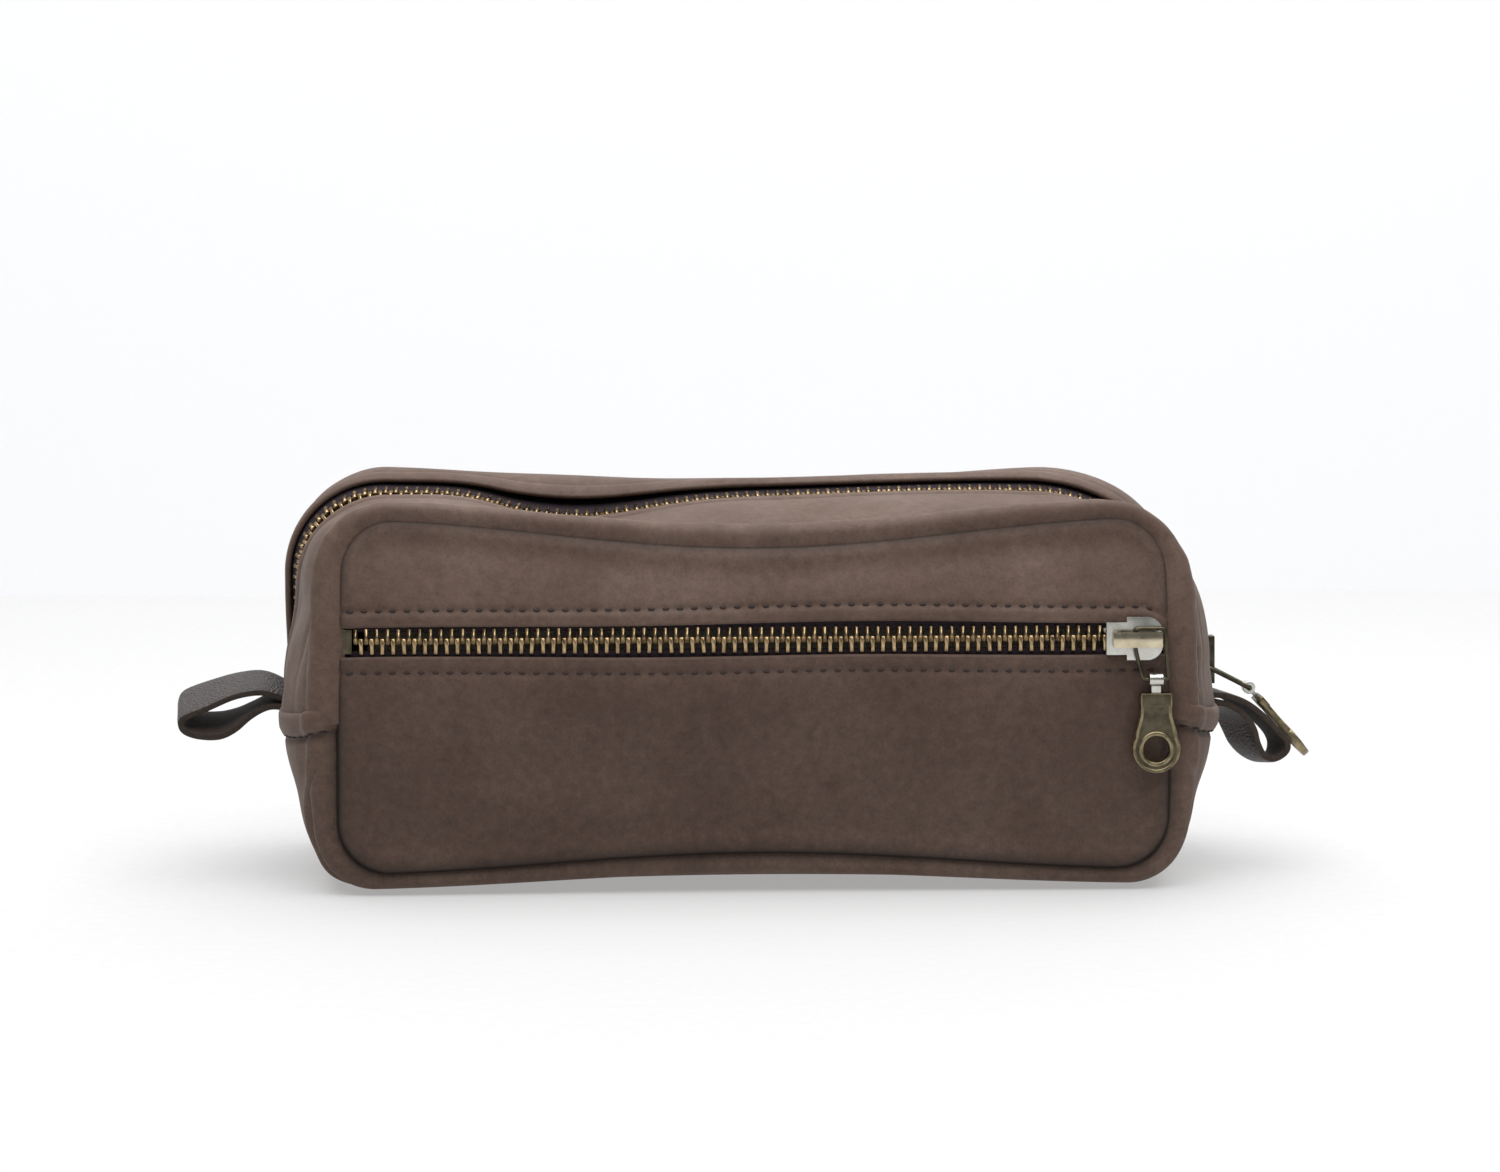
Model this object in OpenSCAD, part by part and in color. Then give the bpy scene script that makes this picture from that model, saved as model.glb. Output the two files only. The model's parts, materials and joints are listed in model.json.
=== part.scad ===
// Shaving kit bag: a soft leather box bag with a zip round its top, a zip pocket in its front panel
// and a leather loop sewn into each end. +X is to the right seen from the front, +Y goes to the back
// and +Z is up. The origin is on the floor under the middle of the bag. Sizes are in millimetres.

/* [Bag] */
// Length of the front and back panels
panel_len = 205; // [200:1:212]
// Height of the panels' top edge
panel_top = 87; // [86:1:89]
// Height of the panels' bottom edge near the corners
panel_foot = 0.6; // [0.4:0.1:2]
// Corner radius of the panels
panel_r = 12; // [9:1:15]
// Depth over the two panels
bag_depth = 86; // [80:1:92]
// Length at mid-depth, where the ends bulge
mid_len = 232; // [230:1:236]
// Height of the top at mid-depth
mid_top = 97; // [96:1:99]
// Radius of the top corners at mid-depth, which the main zip bends round
mid_top_r = 45; // [44:1:45]
// Radius of the bottom corners at mid-depth
mid_foot_r = 38; // [34:1:40]
// How far the bottom edge of each panel rises at its middle
base_arch = 7; // [0:1:9]
// Height of the seams where the top strips meet the bottom gusset
seam_z = 43; // [42:0.5:44]
// Thickness of the leather
leather_t = 1.4; // [1.2:0.1:1.4]

/* [Zips] */
// Height of the pocket zip's centre line
pocket_z = 62.5; // [58:0.5:64]
// Half the gap between the leather edges at the pocket zip
pocket_lip = 4.6; // [4.4:0.1:5.2]
// Half the gap between the leather edges at the main zip
main_lip = 6; // [5.8:0.1:6.6]
// Distance between teeth on one side of a zip
tooth_pitch = 2.6; // [2.5:0.05:2.7]
// Width of a tooth along the zip
tooth_w = 1.1; // [0.9:0.05:1.1]
// Thickness of a tooth through the zip
tooth_t = 2; // [1.8:0.1:2.2]
// Half length of the parts of the top that open
mouth_half = 70; // [68:0.5:71]
// Half length of the part of the pocket that gapes
gape_half = 75; // [60:1:76]

/* [Sliders and pull tabs] */
// Length of a slider
slider_len = 14; // [13:0.5:14]
// Width of a slider at its shoulders
slider_w = 10.5; // [9:0.5:10.5]
// Length of a wire bail between its two bars
bail_len = 12.4; // [11:0.2:13]
// Radius of the bail's wire
wire_r = 0.5; // [0.4:0.05:0.5]
// Length of a pull tab from its eye to the centre of its hole
tab_reach = 17; // [15:0.5:18]
// Radius of a pull tab's round end
tab_r = 5.9; // [5.5:0.1:6.2]
// Radius of the hole in a pull tab
tab_hole_r = 3.4; // [3:0.1:3.5]
// Thickness of a pull tab
tab_t = 1.4; // [1.2:0.1:1.4]
// Angle of the main bail below level
bail_dip = 27; // [20:1:28]
// Angle of the main pull tab below level
tab_dip = 49; // [44:1:50]

/* [End loops] */
// Length of a loop from its root to its tip
loop_len = 28; // [24:1:30]
// Width of a loop's strap
loop_w = 15.5; // [13:0.5:16]
// Thickness of a loop's strap
loop_t = 1.8; // [1.6:0.1:1.8]
// Height of the loops' roots
loop_z = 42.3; // [42:0.1:42.6]
// How far the left loop droops
left_droop = 8; // [0:1:15]
// How far the right loop droops
right_droop = 42; // [40:1:50]

/* [Hidden] */

leather = [0.33, 0.28, 0.25];
loop_leather = [0.13, 0.11, 0.10];
lining = [0.45, 0.42, 0.37];
tape = [0.14, 0.08, 0.11];
brass = [0.62, 0.53, 0.32];
silver = [0.78, 0.78, 0.76];

half_y = bag_depth / 2;
seam_y = half_y - leather_t;
part_gap = 0.3;
top_flat = 8;
base_flat = 25;
puff_power = 2.2;
corner_x = mid_len / 2 - mid_top_r;
corner_z = mid_top - mid_top_r;
arc_len = PI / 2 * mid_top_r;
circle_fn = 48;

// A zip's parts are set out from its tape: the leather lies over it.
tape_t = 0.6;
tape_under = 0.05;
zip_depth = leather_t + tape_under + tape_t / 2;
tape_edge = 9.5;
spine_edge = 3;
spine_in = 1;
tooth_reach = 0.7;
front_teeth_end = 68.9;
back_teeth_end = 70.2;
cut_gap = 0.15;
closed_teeth_z = corner_z - 1.5;
stop_len = 2.6;
left_teeth_z = seam_z + 4.6;
pocket_left = -panel_len / 2 + 1.5;
pocket_slider_x = 92.9;
pocket_y = -half_y + zip_depth;

// The slider's parts stand on the tape's middle: x along the zip, z out of the bag.
plate_z = leather_t + tape_under + tape_t / 2 + 0.1;
plate_t = 1;
window_h = 1.9;
bar_t = 1.1;
bail_z = plate_z + plate_t + window_h / 2;
low_z = -2.2;
slot_top = 0.45;
slot_low = -1.1;
channel_half = 3.35;
flange_t = 0.6;
narrow_half = 3.95;
cap_half = 1.85;
post_x = 5;
post_r = 1.4;
main_bar_x = 2;
bead_r = leather_t / 2;
flap_y = half_y - leather_t - part_gap - bead_r;
flap_z = panel_top - part_gap;
foot_z = panel_foot + 2;

function mix(p, q, f) = p + (q - p) * f;

// 0 at the panel seam and 1 within flat of mid-depth
function puff(y, flat) = 1 - pow(max(0, abs(y) - flat) / (seam_y - flat), puff_power);

// Height of the leather's outside across the open part of the top
function top_z(y) = mix(panel_top, mid_top, puff(y, top_flat));

// Rise of the bottom edge along the panel
function arch(x) = base_arch * pow(cos(90 * min(1, abs(x) * 2 / panel_len)), 2);

// A quarter of the bag's outline: u = 0 to 1 up (or down) the end, to 2 round the corner, to 3 along
function quarter(u, half_len, z_far, r, x_cut) =
    let (s = sign(z_far - seam_z), z_turn = z_far - s * r, z_start = seam_z + s * part_gap / 2,
        turn = 90 * (u - 1))
    u <= 1 ? [half_len, mix(z_start, z_turn, u)]
    : u <= 2 ? [half_len - r + r * cos(turn), z_turn + s * r * sin(turn)]
    : [mix(half_len - r, x_cut, u - 2), z_far];

function gusset_point(u, y, inset, up, x_cut) =
    let (f = puff(y, up ? top_flat : base_flat),
        edge = quarter(u, panel_len / 2 - inset, up ? panel_top - inset : panel_foot + inset,
            panel_r - inset, x_cut),
        mid = quarter(u, mid_len / 2 - inset, up ? mid_top - inset : inset,
            (up ? mid_top_r : mid_foot_r) - inset, x_cut),
        p = mix(edge, mid, f))
    [p[0], y, p[1] + (up ? 0 : arch(p[0]) * (1 - f))];

// Stations round a quarter: the end, the corner, then the straight
function stations(corner, straight) = concat([0, 0.5], [for (i = [0:corner]) 1 + i / corner],
    [for (i = [1:straight]) 2 + i / straight]);

// Closed solid between an outer and an inner grid of points
module solid_between(outer, inner) {
    rows = len(outer);
    cols = len(outer[0]);
    n = rows * cols;
    points = concat([for (row = outer) each row], [for (row = inner) each row]);
    sheets = [for (i = [0:rows - 2]) for (j = [0:cols - 2])
        let (a = i * cols + j, b = a + cols) each
            [[a, b, b + 1], [a, b + 1, a + 1], [n + a, n + b + 1, n + b], [n + a, n + a + 1, n + b + 1]]];
    sides = [for (i = [0:rows - 2]) for (j = [0, cols - 1])
        let (a = i * cols + j, b = a + cols) each j == 0
            ? [[a, n + a, n + b], [a, n + b, b]] : [[a, n + b, n + a], [a, b, n + b]]];
    ends = [for (j = [0:cols - 2]) for (i = [0, rows - 1])
        let (a = i * cols + j, b = a + 1) each i == 0
            ? [[a, n + b, n + a], [a, b, n + b]] : [[a, n + a, n + b], [a, n + b, b]]];
    polyhedron(points, concat(sheets, sides, ends), convexity = 6);
}

module along_x(x0, x1) translate([x0, 0, 0]) rotate([90, 0, 90]) linear_extrude(x1 - x0) children();

module block(x0, x1, y0, y1, z0, z1) translate([x0, y0, z0]) cube([x1 - x0, y1 - y0, z1 - z0]);

module to_back() mirror([0, 1, 0]) children();

module both_ends() {
    children();
    mirror([1, 0, 0]) children();
}

// ---- Panels ----

// Outline of a panel between two heights, as points in the plane of the panel
function panel_points(x0, x1, z0, z1) =
    let (n = 40)
    [for (i = [0:n]) let (x = mix(x0, x1, i / n)) [x, max(z0, panel_low(x))],
     for (i = [n:-1:0]) let (x = mix(x0, x1, i / n)) [x, min(z1, panel_high(x))]];

function corner_drop(x) =
    let (past = abs(x) - panel_len / 2 + panel_r)
    past <= 0 ? 0 : panel_r - sqrt(max(0, panel_r * panel_r - past * past));

function panel_low(x) = panel_foot + arch(x) + corner_drop(x);
function panel_high(x) = panel_top - corner_drop(x);

module panel(x0, x1, z0, z1) {
    translate([0, -seam_y, 0]) rotate([90, 0, 0]) linear_extrude(leather_t)
        polygon(panel_points(x0, x1, z0, z1));
}

module front_upper_panel() color(leather)
    panel(-panel_len / 2 + 0.1, panel_len / 2 - 0.1, pocket_z + pocket_lip, panel_top);

// The middle of the lower panel leans out about a bead at each end of its foot.
module front_lower_panel() color(leather) {
    panel(-gape_half, gape_half, 0, pocket_z - pocket_lip);
    both_ends() along_x(gape_half - 9, gape_half) translate([-seam_y - bead_r, foot_z])
        circle(bead_r, $fn = circle_fn);
}

module front_lower_panel_ends() color(leather)
    both_ends() panel(gape_half + part_gap, panel_len / 2 - 0.1, 0, pocket_z - pocket_lip);

module back_panel() color(leather)
    to_back() panel(-panel_len / 2 + 0.1, panel_len / 2 - 0.1, 0, panel_top);

// ---- Top strips and bottom gusset ----

// Cross-section of a sheet under the outside of the top, from the seam side to the zip side
module strip_section(y_seam, y_zip, low, high) {
    n = 14;
    ys = [for (i = [0:n]) mix(y_seam, y_zip, i / n)];
    polygon(concat([for (y = ys) [-y, top_z(y) - low]],
        [for (i = [n:-1:0]) [-ys[i], top_z(ys[i]) - high]]));
}

module strip() color(leather) {
    along_x(-mouth_half, mouth_half) strip_section(flap_y, main_lip, 0, leather_t);
    along_x(-mouth_half, mouth_half) translate([-flap_y, flap_z]) circle(bead_r, $fn = circle_fn);
}

module strip_ends() color(leather) both_ends() {
    x_cut = mouth_half + part_gap;
    ys = [for (i = [0:8]) mix(seam_y - part_gap, main_lip, i / 8)];
    us = stations(24, 1);
    solid_between([for (u = us) [for (y = ys) gusset_point(u, -y, 0, true, x_cut)]],
        [for (u = us) [for (y = ys) gusset_point(u, -y, leather_t, true, x_cut)]]);
}

module strip_lining() color(lining) along_x(-mouth_half, mouth_half)
    strip_section(flap_y - 1.4, tape_edge + 0.5, leather_t + 0.1, leather_t + 0.6);

// A sheet round the bottom, from one end seam to the other
module gusset_sheet(depth, low, high) {
    x_cut = 9;
    ys = [for (i = [0:5]) mix(-depth, -base_flat, i / 5), for (i = [0:5]) mix(base_flat, depth, i / 5)];
    us = stations(8, 5);
    function row(u, inset) = [for (y = ys) gusset_point(u, y, inset, false, x_cut)];
    function other(rows) = [for (i = [len(rows) - 1:-1:0]) [for (p = rows[i]) [-p[0], p[1], p[2]]]];
    outside = [for (u = us) row(u, low)];
    inside = [for (u = us) row(u, high)];
    mirror([1, 0, 0]) solid_between(concat(outside, other(outside)), concat(inside, other(inside)));
}

module bottom_gusset() color(leather) gusset_sheet(seam_y - part_gap, 0, leather_t);

module gusset_lining() color(lining) gusset_sheet(seam_y - 1, leather_t + 0.1, leather_t + 0.6);

module lining_sheet(y, z0, z1) color(lining) block(-95, 95, y, y + 0.5, z0, z1);

module pocket_lining() lining_sheet(-35.4, 11, 84);
module front_lining() lining_sheet(-34.7, 11, 84);
module back_lining() lining_sheet(seam_y - 0.7, 11, 84);

// ---- Main zip ----

// One end of the zip's path, as a bar between two depths under the outside and two places across
module end_run(y0, y1, high, low, x_cut, z_end) {
    block(mid_len / 2 - low, mid_len / 2 - high, y0, y1, z_end, corner_z);
    translate([corner_x, 0, corner_z]) rotate([90, 0, 0]) rotate_extrude(angle = 90, $fn = 96)
        translate([mid_top_r - low, -y1]) square([low - high, y1 - y0]);
    block(x_cut, corner_x, y0, y1, mid_top - low, mid_top - high);
}

// Puts a piece on the zip's path, at distance s from the middle of the top
module on_path(s) {
    if (s < corner_x) translate([s, 0, mid_top]) children();
    else if (s < corner_x + arc_len)
        translate([corner_x, 0, corner_z]) rotate([0, (s - corner_x) / arc_len * 90, 0])
            translate([0, 0, mid_top_r]) children();
    else translate([mid_len / 2, 0, corner_z - (s - corner_x - arc_len)]) rotate([0, 90, 0]) children();
}

function path_of_z(z) = corner_x + arc_len + corner_z - z;

module tape_half() color(tape)
    block(-mouth_half, mouth_half, -tape_edge, -spine_edge - 0.05,
        mid_top - zip_depth - tape_t / 2, mid_top - zip_depth + tape_t / 2);

module tape_ends() color(tape) both_ends()
    end_run(-tape_edge, -spine_edge - 0.05, zip_depth - tape_t / 2, zip_depth + tape_t / 2,
        mouth_half + part_gap, seam_z + part_gap);

// A row of teeth on a spine, in the plane of the zip, reaching across its centre line
module comb(x0, x1, places) {
    polygon(concat([[x0, -spine_edge], [x1, -spine_edge], [x1, -spine_in]],
        [for (i = [len(places) - 1:-1:0]) each
            [[places[i] + tooth_w / 2, -spine_in], [places[i] + tooth_w / 2, tooth_reach],
             [places[i] - tooth_w / 2, tooth_reach], [places[i] - tooth_w / 2, -spine_in]]],
        [[x0, -spine_in]]));
}

// Places of teeth between two distances, with the first tooth at shift
function teeth_between(s0, s1, shift) =
    [for (k = [ceil((s0 - shift) / tooth_pitch):floor((s1 - shift) / tooth_pitch)])
        shift + k * tooth_pitch];

module top_teeth(end, shift) color(brass)
    translate([0, 0, mid_top - zip_depth - tooth_t / 2]) linear_extrude(tooth_t)
        comb(-end + cut_gap, end - cut_gap,
            teeth_between(-end + cut_gap + tooth_w / 2, end - cut_gap - tooth_w / 2, shift));

module end_teeth(end, shift, z_end) {
    high = zip_depth - tooth_t / 2;
    end_run(-spine_edge, -spine_in, high, high + tooth_t, end + cut_gap, z_end);
    for (s = teeth_between(end + cut_gap + tooth_w / 2, path_of_z(z_end) - tooth_w / 2, shift))
        on_path(s) block(-tooth_w / 2, tooth_w / 2, -spine_in - 0.5, tooth_reach, -high - tooth_t, -high);
}

// The left end's zip runs further down than the right end's, where the slider is.
module both_end_teeth(end, shift) color(brass) {
    end_teeth(end, shift, closed_teeth_z);
    mirror([1, 0, 0]) end_teeth(end, shift, left_teeth_z);
}

module main_bottom_stop() color(brass) {
    high = zip_depth - tooth_t / 2 - 0.1;
    block(-mid_len / 2 + high, -mid_len / 2 + high + tooth_t + 0.2, -spine_edge, spine_edge,
        left_teeth_z - 0.3 - stop_len, left_teeth_z - 0.3);
}

module main_top_stops() color(brass) for (side = [0, 1]) mirror([0, side, 0])
    block(mid_len / 2 - zip_depth - 0.9, mid_len / 2 - zip_depth + 0.9, 1.4, spine_edge,
        corner_z - slider_len / 2 - 1.6, corner_z - slider_len / 2 - 0.4);

// ---- Sliders, bails and pull tabs: x along the zip towards its closed end, z out of the bag ----

// Outline of a slider's plate: a narrow end that grips the closed teeth, then round shoulders
module plate_outline() {
    h = slider_len / 2;
    square_end = h - 4;
    translate([-h, -narrow_half]) square([h, 2 * narrow_half]);
    translate([-h + 5, -slider_w / 2]) square([square_end - (-h + 5), slider_w]);
    for (side = [-1, 1]) translate([square_end, side * (slider_w / 2 - 4)]) circle(4, $fn = circle_fn);
    translate([square_end, -slider_w / 2 + 4]) square([4, slider_w - 8]);
}

module slider_body() color(silver) {
    h = slider_len / 2;
    translate([0, 0, plate_z]) linear_extrude(plate_t) plate_outline();
    translate([0, 0, low_z - plate_t]) linear_extrude(plate_t) plate_outline();
    for (side = [0, 1]) mirror([0, side, 0]) {
        block(-h, -1, channel_half, channel_half + flange_t, slot_top, plate_z + 0.2);
        block(-h, -1, channel_half, channel_half + flange_t, low_z - 0.2, slot_low);
    }
    translate([4.6, 0, low_z - 0.2]) cylinder(r = 1.1, h = plate_z - low_z + 0.4, $fn = circle_fn);
}

module slider_cap() color(brass) {
    z0 = plate_z + plate_t;
    block(-5.7, 6.4, -cap_half, cap_half, z0 + window_h, z0 + window_h + bar_t);
    block(-5.7, -4.3, -1.5, 1.5, z0, z0 + window_h + bar_t / 2);
    translate([post_x, 0, z0]) cylinder(r = post_r, h = window_h + bar_t / 2, $fn = circle_fn);
}

// A wire ring through the points, in order
module wire(points) {
    n = len(points);
    for (i = [0:n - 1]) {
        p = points[i];
        d = points[(i + 1) % n] - p;
        translate(p) sphere(wire_r + 0.02, $fn = 24);
        translate(p) rotate([0, acos(d[2] / norm(d)), atan2(d[1], d[0])])
            cylinder(r = wire_r, h = norm(d), $fn = 24);
    }
}

// An eye round a bar along y, at the origin, with a neck along x
module connector() color(silver) difference() {
    union() {
        rotate([90, 0, 0]) cylinder(r = 1.6, h = 3.4, center = true, $fn = circle_fn);
        block(1.2, 4.2, -1.2, 1.2, -0.5, 0.5);
    }
    rotate([90, 0, 0]) cylinder(r = wire_r + 0.1, h = 5, center = true, $fn = circle_fn);
}

// A paddle with a hole, along x from its eye
module pull_tab() color(brass) difference() {
    union() {
        translate([tab_reach, 0, -tab_t / 2]) cylinder(r = tab_r, h = tab_t, $fn = 96);
        translate([0, 0, -tab_t / 2]) linear_extrude(tab_t)
            polygon([[3.4, -3.9], [8.6, -3.9], [tab_reach, -tab_r], [tab_reach, tab_r], [8.6, 3.9],
                [3.4, 3.9]]);
        block(3.4, 6.6, -3.9, 3.9, -1.1, 1.1);
    }
    translate([tab_reach, 0, -2]) cylinder(r = tab_hole_r, h = 4, $fn = 96);
    block(3, 4.3, -1.25, 1.25, -0.55, 0.55);
}

// The main slider stands on the right end, with the closed end of the zip below it.
module at_main() translate([mid_len / 2 - zip_depth, 0, corner_z]) rotate([0, 90, 0]) children();

main_bar = [mid_len / 2 - zip_depth + bail_z, corner_z - main_bar_x];
main_eye = main_bar + bail_len * [cos(bail_dip), -sin(bail_dip)];

module main_slider_body() at_main() slider_body();
module main_slider_cap() at_main() slider_cap();

module main_bail() color(brass) {
    far_half = 3;
    near_half = 4;
    wire([[main_bar[0], -near_half, main_bar[1]], [main_bar[0], near_half, main_bar[1]],
        [main_eye[0], far_half, main_eye[1]], [main_eye[0], -far_half, main_eye[1]]]);
}

module at_main_eye() translate([main_eye[0], 0, main_eye[1]]) rotate([0, tab_dip, 0]) children();

module main_connector() at_main_eye() connector();
module main_pull_tab() at_main_eye() pull_tab();

// The pocket slider stands at the right of the front. A straight run of its bail turns behind the bridge.
module at_pocket() translate([pocket_slider_x, pocket_y, pocket_z]) rotate([90, 0, 0]) children();

bail_y = pocket_y - bail_z;
bail_top = cap_half + wire_r + 0.2;
pocket_bar_x = pocket_slider_x + post_x;
pocket_bar_z = pocket_z + bail_top - bail_len;

module pocket_slider_body() at_pocket() slider_body();
module pocket_slider_cap() at_pocket() slider_cap();

module pocket_bail() color(brass)
    wire([[pocket_slider_x, bail_y, pocket_z + bail_top], [pocket_bar_x + 2.2, bail_y, pocket_z + bail_top],
        [pocket_bar_x + 3, bail_y, pocket_bar_z], [pocket_bar_x - 3.2, bail_y, pocket_bar_z],
        [pocket_slider_x, bail_y, pocket_z - bail_top]]);

module at_pocket_eye()
    translate([pocket_bar_x, bail_y, pocket_bar_z]) rotate([0, 90, 0]) rotate([90, 0, 0]) children();

module pocket_connector() at_pocket_eye() connector();
module pocket_pull_tab() at_pocket_eye() pull_tab();

// ---- Pocket zip ----

module pocket_tape(x0, x1, side) color(tape)
    block(x0, x1, pocket_y - tape_t / 2, pocket_y + tape_t / 2,
        pocket_z + (side > 0 ? spine_edge + 0.05 : -tape_edge),
        pocket_z + (side > 0 ? tape_edge : -spine_edge - 0.05));

module pocket_teeth(x0, x1, shift, side) color(brass)
    translate([0, pocket_y + tooth_t / 2, pocket_z]) rotate([90, 0, 0]) linear_extrude(tooth_t)
        mirror([0, side > 0 ? 1 : 0]) comb(x0, x1,
            teeth_between(x0 + tooth_w / 2, x1 - tooth_w / 2, shift));

pocket_teeth_left = pocket_left + stop_len + 0.4;
pocket_teeth_right = pocket_slider_x + 2;
pocket_right = panel_len / 2 - 1.6;

module pocket_tape_upper() pocket_tape(pocket_left, pocket_right, 1);
module pocket_tape_lower() pocket_tape(-gape_half, gape_half, -1);
module pocket_tape_lower_ends() {
    pocket_tape(pocket_left, -gape_half - part_gap, -1);
    pocket_tape(gape_half + part_gap, pocket_right, -1);
}

module pocket_teeth_upper() pocket_teeth(pocket_teeth_left, pocket_teeth_right, tooth_pitch / 2, 1);
module pocket_teeth_lower() pocket_teeth(-gape_half, gape_half, 0, -1);
module pocket_teeth_lower_ends() {
    pocket_teeth(pocket_teeth_left, -gape_half - part_gap, 0, -1);
    pocket_teeth(gape_half + part_gap, pocket_teeth_right, 0, -1);
}

module pocket_bottom_stop() color(brass)
    block(pocket_left, pocket_left + stop_len, pocket_y - tooth_t / 2 - 0.1, pocket_y + tooth_t / 2 + 0.1,
        pocket_z - spine_edge, pocket_z + spine_edge);

module pocket_top_stops() color(brass) for (side = [-1, 1])
    translate([0, 0, side > 0 ? pocket_z + 1.4 : pocket_z - spine_edge])
        block(pocket_slider_x + slider_len / 2 + 0.2, pocket_right, pocket_y - 0.9, pocket_y + 0.9,
            0, spine_edge - 1.4);

// ---- End loops ----

// Middle line of a loop's strap from its root, out and back, as [x, z]
function loop_line(t) = [loop_len * (1 - cos(360 * t)) / 2,
    (loop_t / 2 + 0.02) * cos(180 * t) + loop_bulge * sin(360 * t) * pow(sin(180 * t), 2)];

function loop_normal(t) =
    let (d = loop_line(min(1, t + 0.001)) - loop_line(max(0, t - 0.001)))
    [-d[1], d[0]] / norm(d);

module loop() color(loop_leather) rotate([90, 0, 0]) {
    n = 48;
    half_t = loop_t / 2;
    linear_extrude(loop_w, center = true)
        polygon(concat([for (i = [0:n]) loop_line(i / n) + half_t * loop_normal(i / n)],
            [for (i = [n:-1:0]) loop_line(i / n) - half_t * loop_normal(i / n)]));
    cylinder(r = loop_t, h = loop_w, center = true, $fn = circle_fn);
}

loop_root_x = mid_len / 2 + 0.4 + loop_t;
loop_bulge = 6.8;

module left_loop() mirror([1, 0, 0]) translate([loop_root_x, 0, loop_z]) rotate([0, left_droop, 0]) loop();
module right_loop() translate([loop_root_x, 0, loop_z]) rotate([0, right_droop, 0]) loop();

front_upper_panel();
front_lower_panel();
front_lower_panel_ends();
back_panel();
strip();  // front_strip
strip_ends();  // front_strip_ends
to_back() strip();  // back_strip
to_back() strip_ends();  // back_strip_ends
bottom_gusset();
tape_half();  // main_tape_front
tape_ends();  // main_tape_front_ends
to_back() tape_half();  // main_tape_back
to_back() tape_ends();  // main_tape_back_ends
top_teeth(front_teeth_end, 0);  // main_teeth_front
both_end_teeth(front_teeth_end, 0);  // main_teeth_front_ends
to_back() top_teeth(back_teeth_end, tooth_pitch / 2);  // main_teeth_back
to_back() both_end_teeth(back_teeth_end, tooth_pitch / 2);  // main_teeth_back_ends
main_bottom_stop();
main_top_stops();
main_slider_body();
main_slider_cap();
main_bail();
main_connector();
main_pull_tab();
pocket_tape_upper();
pocket_tape_lower();
pocket_tape_lower_ends();
pocket_teeth_upper();
pocket_teeth_lower();
pocket_teeth_lower_ends();
pocket_bottom_stop();
pocket_top_stops();
pocket_slider_body();
pocket_slider_cap();
pocket_bail();
pocket_connector();
pocket_pull_tab();
left_loop();
right_loop();
pocket_lining();
front_lining();
back_lining();
gusset_lining();
strip_lining();  // front_strip_lining
to_back() strip_lining();  // back_strip_lining
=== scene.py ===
"""Shaving kit bag: leather, zips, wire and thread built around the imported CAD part. Sizes here are in
millimetres; MM turns them into metres when a mesh is made. x is to the right, y to the back and z up."""

import json
import math

import bpy
import numpy as np
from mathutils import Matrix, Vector


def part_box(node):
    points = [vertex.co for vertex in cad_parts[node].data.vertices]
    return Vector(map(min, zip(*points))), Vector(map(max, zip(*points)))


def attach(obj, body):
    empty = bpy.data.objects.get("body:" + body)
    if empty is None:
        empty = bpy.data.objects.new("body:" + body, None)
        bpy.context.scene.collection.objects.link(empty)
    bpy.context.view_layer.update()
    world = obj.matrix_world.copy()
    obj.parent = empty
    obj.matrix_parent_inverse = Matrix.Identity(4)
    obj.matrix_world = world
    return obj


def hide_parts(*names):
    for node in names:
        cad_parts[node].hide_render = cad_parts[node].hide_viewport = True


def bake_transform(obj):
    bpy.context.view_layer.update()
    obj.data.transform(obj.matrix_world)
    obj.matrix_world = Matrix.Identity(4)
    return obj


MM = 0.001
rng = np.random.default_rng(7)
with open("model.json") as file:
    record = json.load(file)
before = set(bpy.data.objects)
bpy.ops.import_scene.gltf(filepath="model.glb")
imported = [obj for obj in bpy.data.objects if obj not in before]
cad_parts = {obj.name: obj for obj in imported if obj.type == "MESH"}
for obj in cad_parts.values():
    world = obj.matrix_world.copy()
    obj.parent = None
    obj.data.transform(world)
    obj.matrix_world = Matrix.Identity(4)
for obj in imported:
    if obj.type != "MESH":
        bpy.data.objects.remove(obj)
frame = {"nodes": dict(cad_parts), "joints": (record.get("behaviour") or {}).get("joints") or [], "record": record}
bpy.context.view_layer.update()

MOUNTS = {m["name"]: m for m in frame["record"]["mounts"]}
JOINTS = {j["name"]: j for j in frame["joints"]}


def box_mm(node):
    low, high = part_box(node)
    return np.array(low) / MM, np.array(high) / MM


def place_mm(point):
    """Where a joint or a mount of the frame is."""
    return np.array(point["pos_m"]) / MM


# ---------------------------------------------------------------- sizes read from the CAD part

PANEL_X = box_mm("back_panel")[1][0] + 0.1
SEAM_Y = -box_mm("front_upper_panel")[0][1]
TOP_Z = box_mm("front_strip_ends")[1][2]
MID_X = box_mm("front_strip_ends")[1][0]
POCKET_Z = box_mm("pocket_bottom_stop")[0][2] + 3
TEETH_Y = (box_mm("pocket_teeth_upper")[0][1] + box_mm("pocket_teeth_upper")[1][1]) / 2
LEATHER_T = 1.4
TAPE_T = 0.6
ZIP_DEPTH = SEAM_Y + TEETH_Y
MAIN_LIP = 6.2
POCKET_LIP = 4.4
PITCH = 2.6
CORNER_R = TOP_Z - place_mm(JOINTS["main_slider_run"])[2]
# how far the pocket's tapes lie behind the middle of its teeth
POCKET_TAPE_BACK = 0.45
# how far a tape's edge is from the zip's line
TAPE_START = 2.6
STITCH_PITCH = 3.5
STITCH_LENGTH = 2.2
STITCH_WIDTH = 0.72
# from the leather's edge beside the pocket zip to its row of stitches, and how deep the row is drawn in
STITCH_IN = 3.3
STITCH_DENT = 0.38

# ---------------------------------------------------------------- materials


def node_tree(name):
    material = bpy.data.materials.new(name)
    material.use_nodes = True
    tree = material.node_tree
    return material, tree, tree.nodes["Principled BSDF"]


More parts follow.
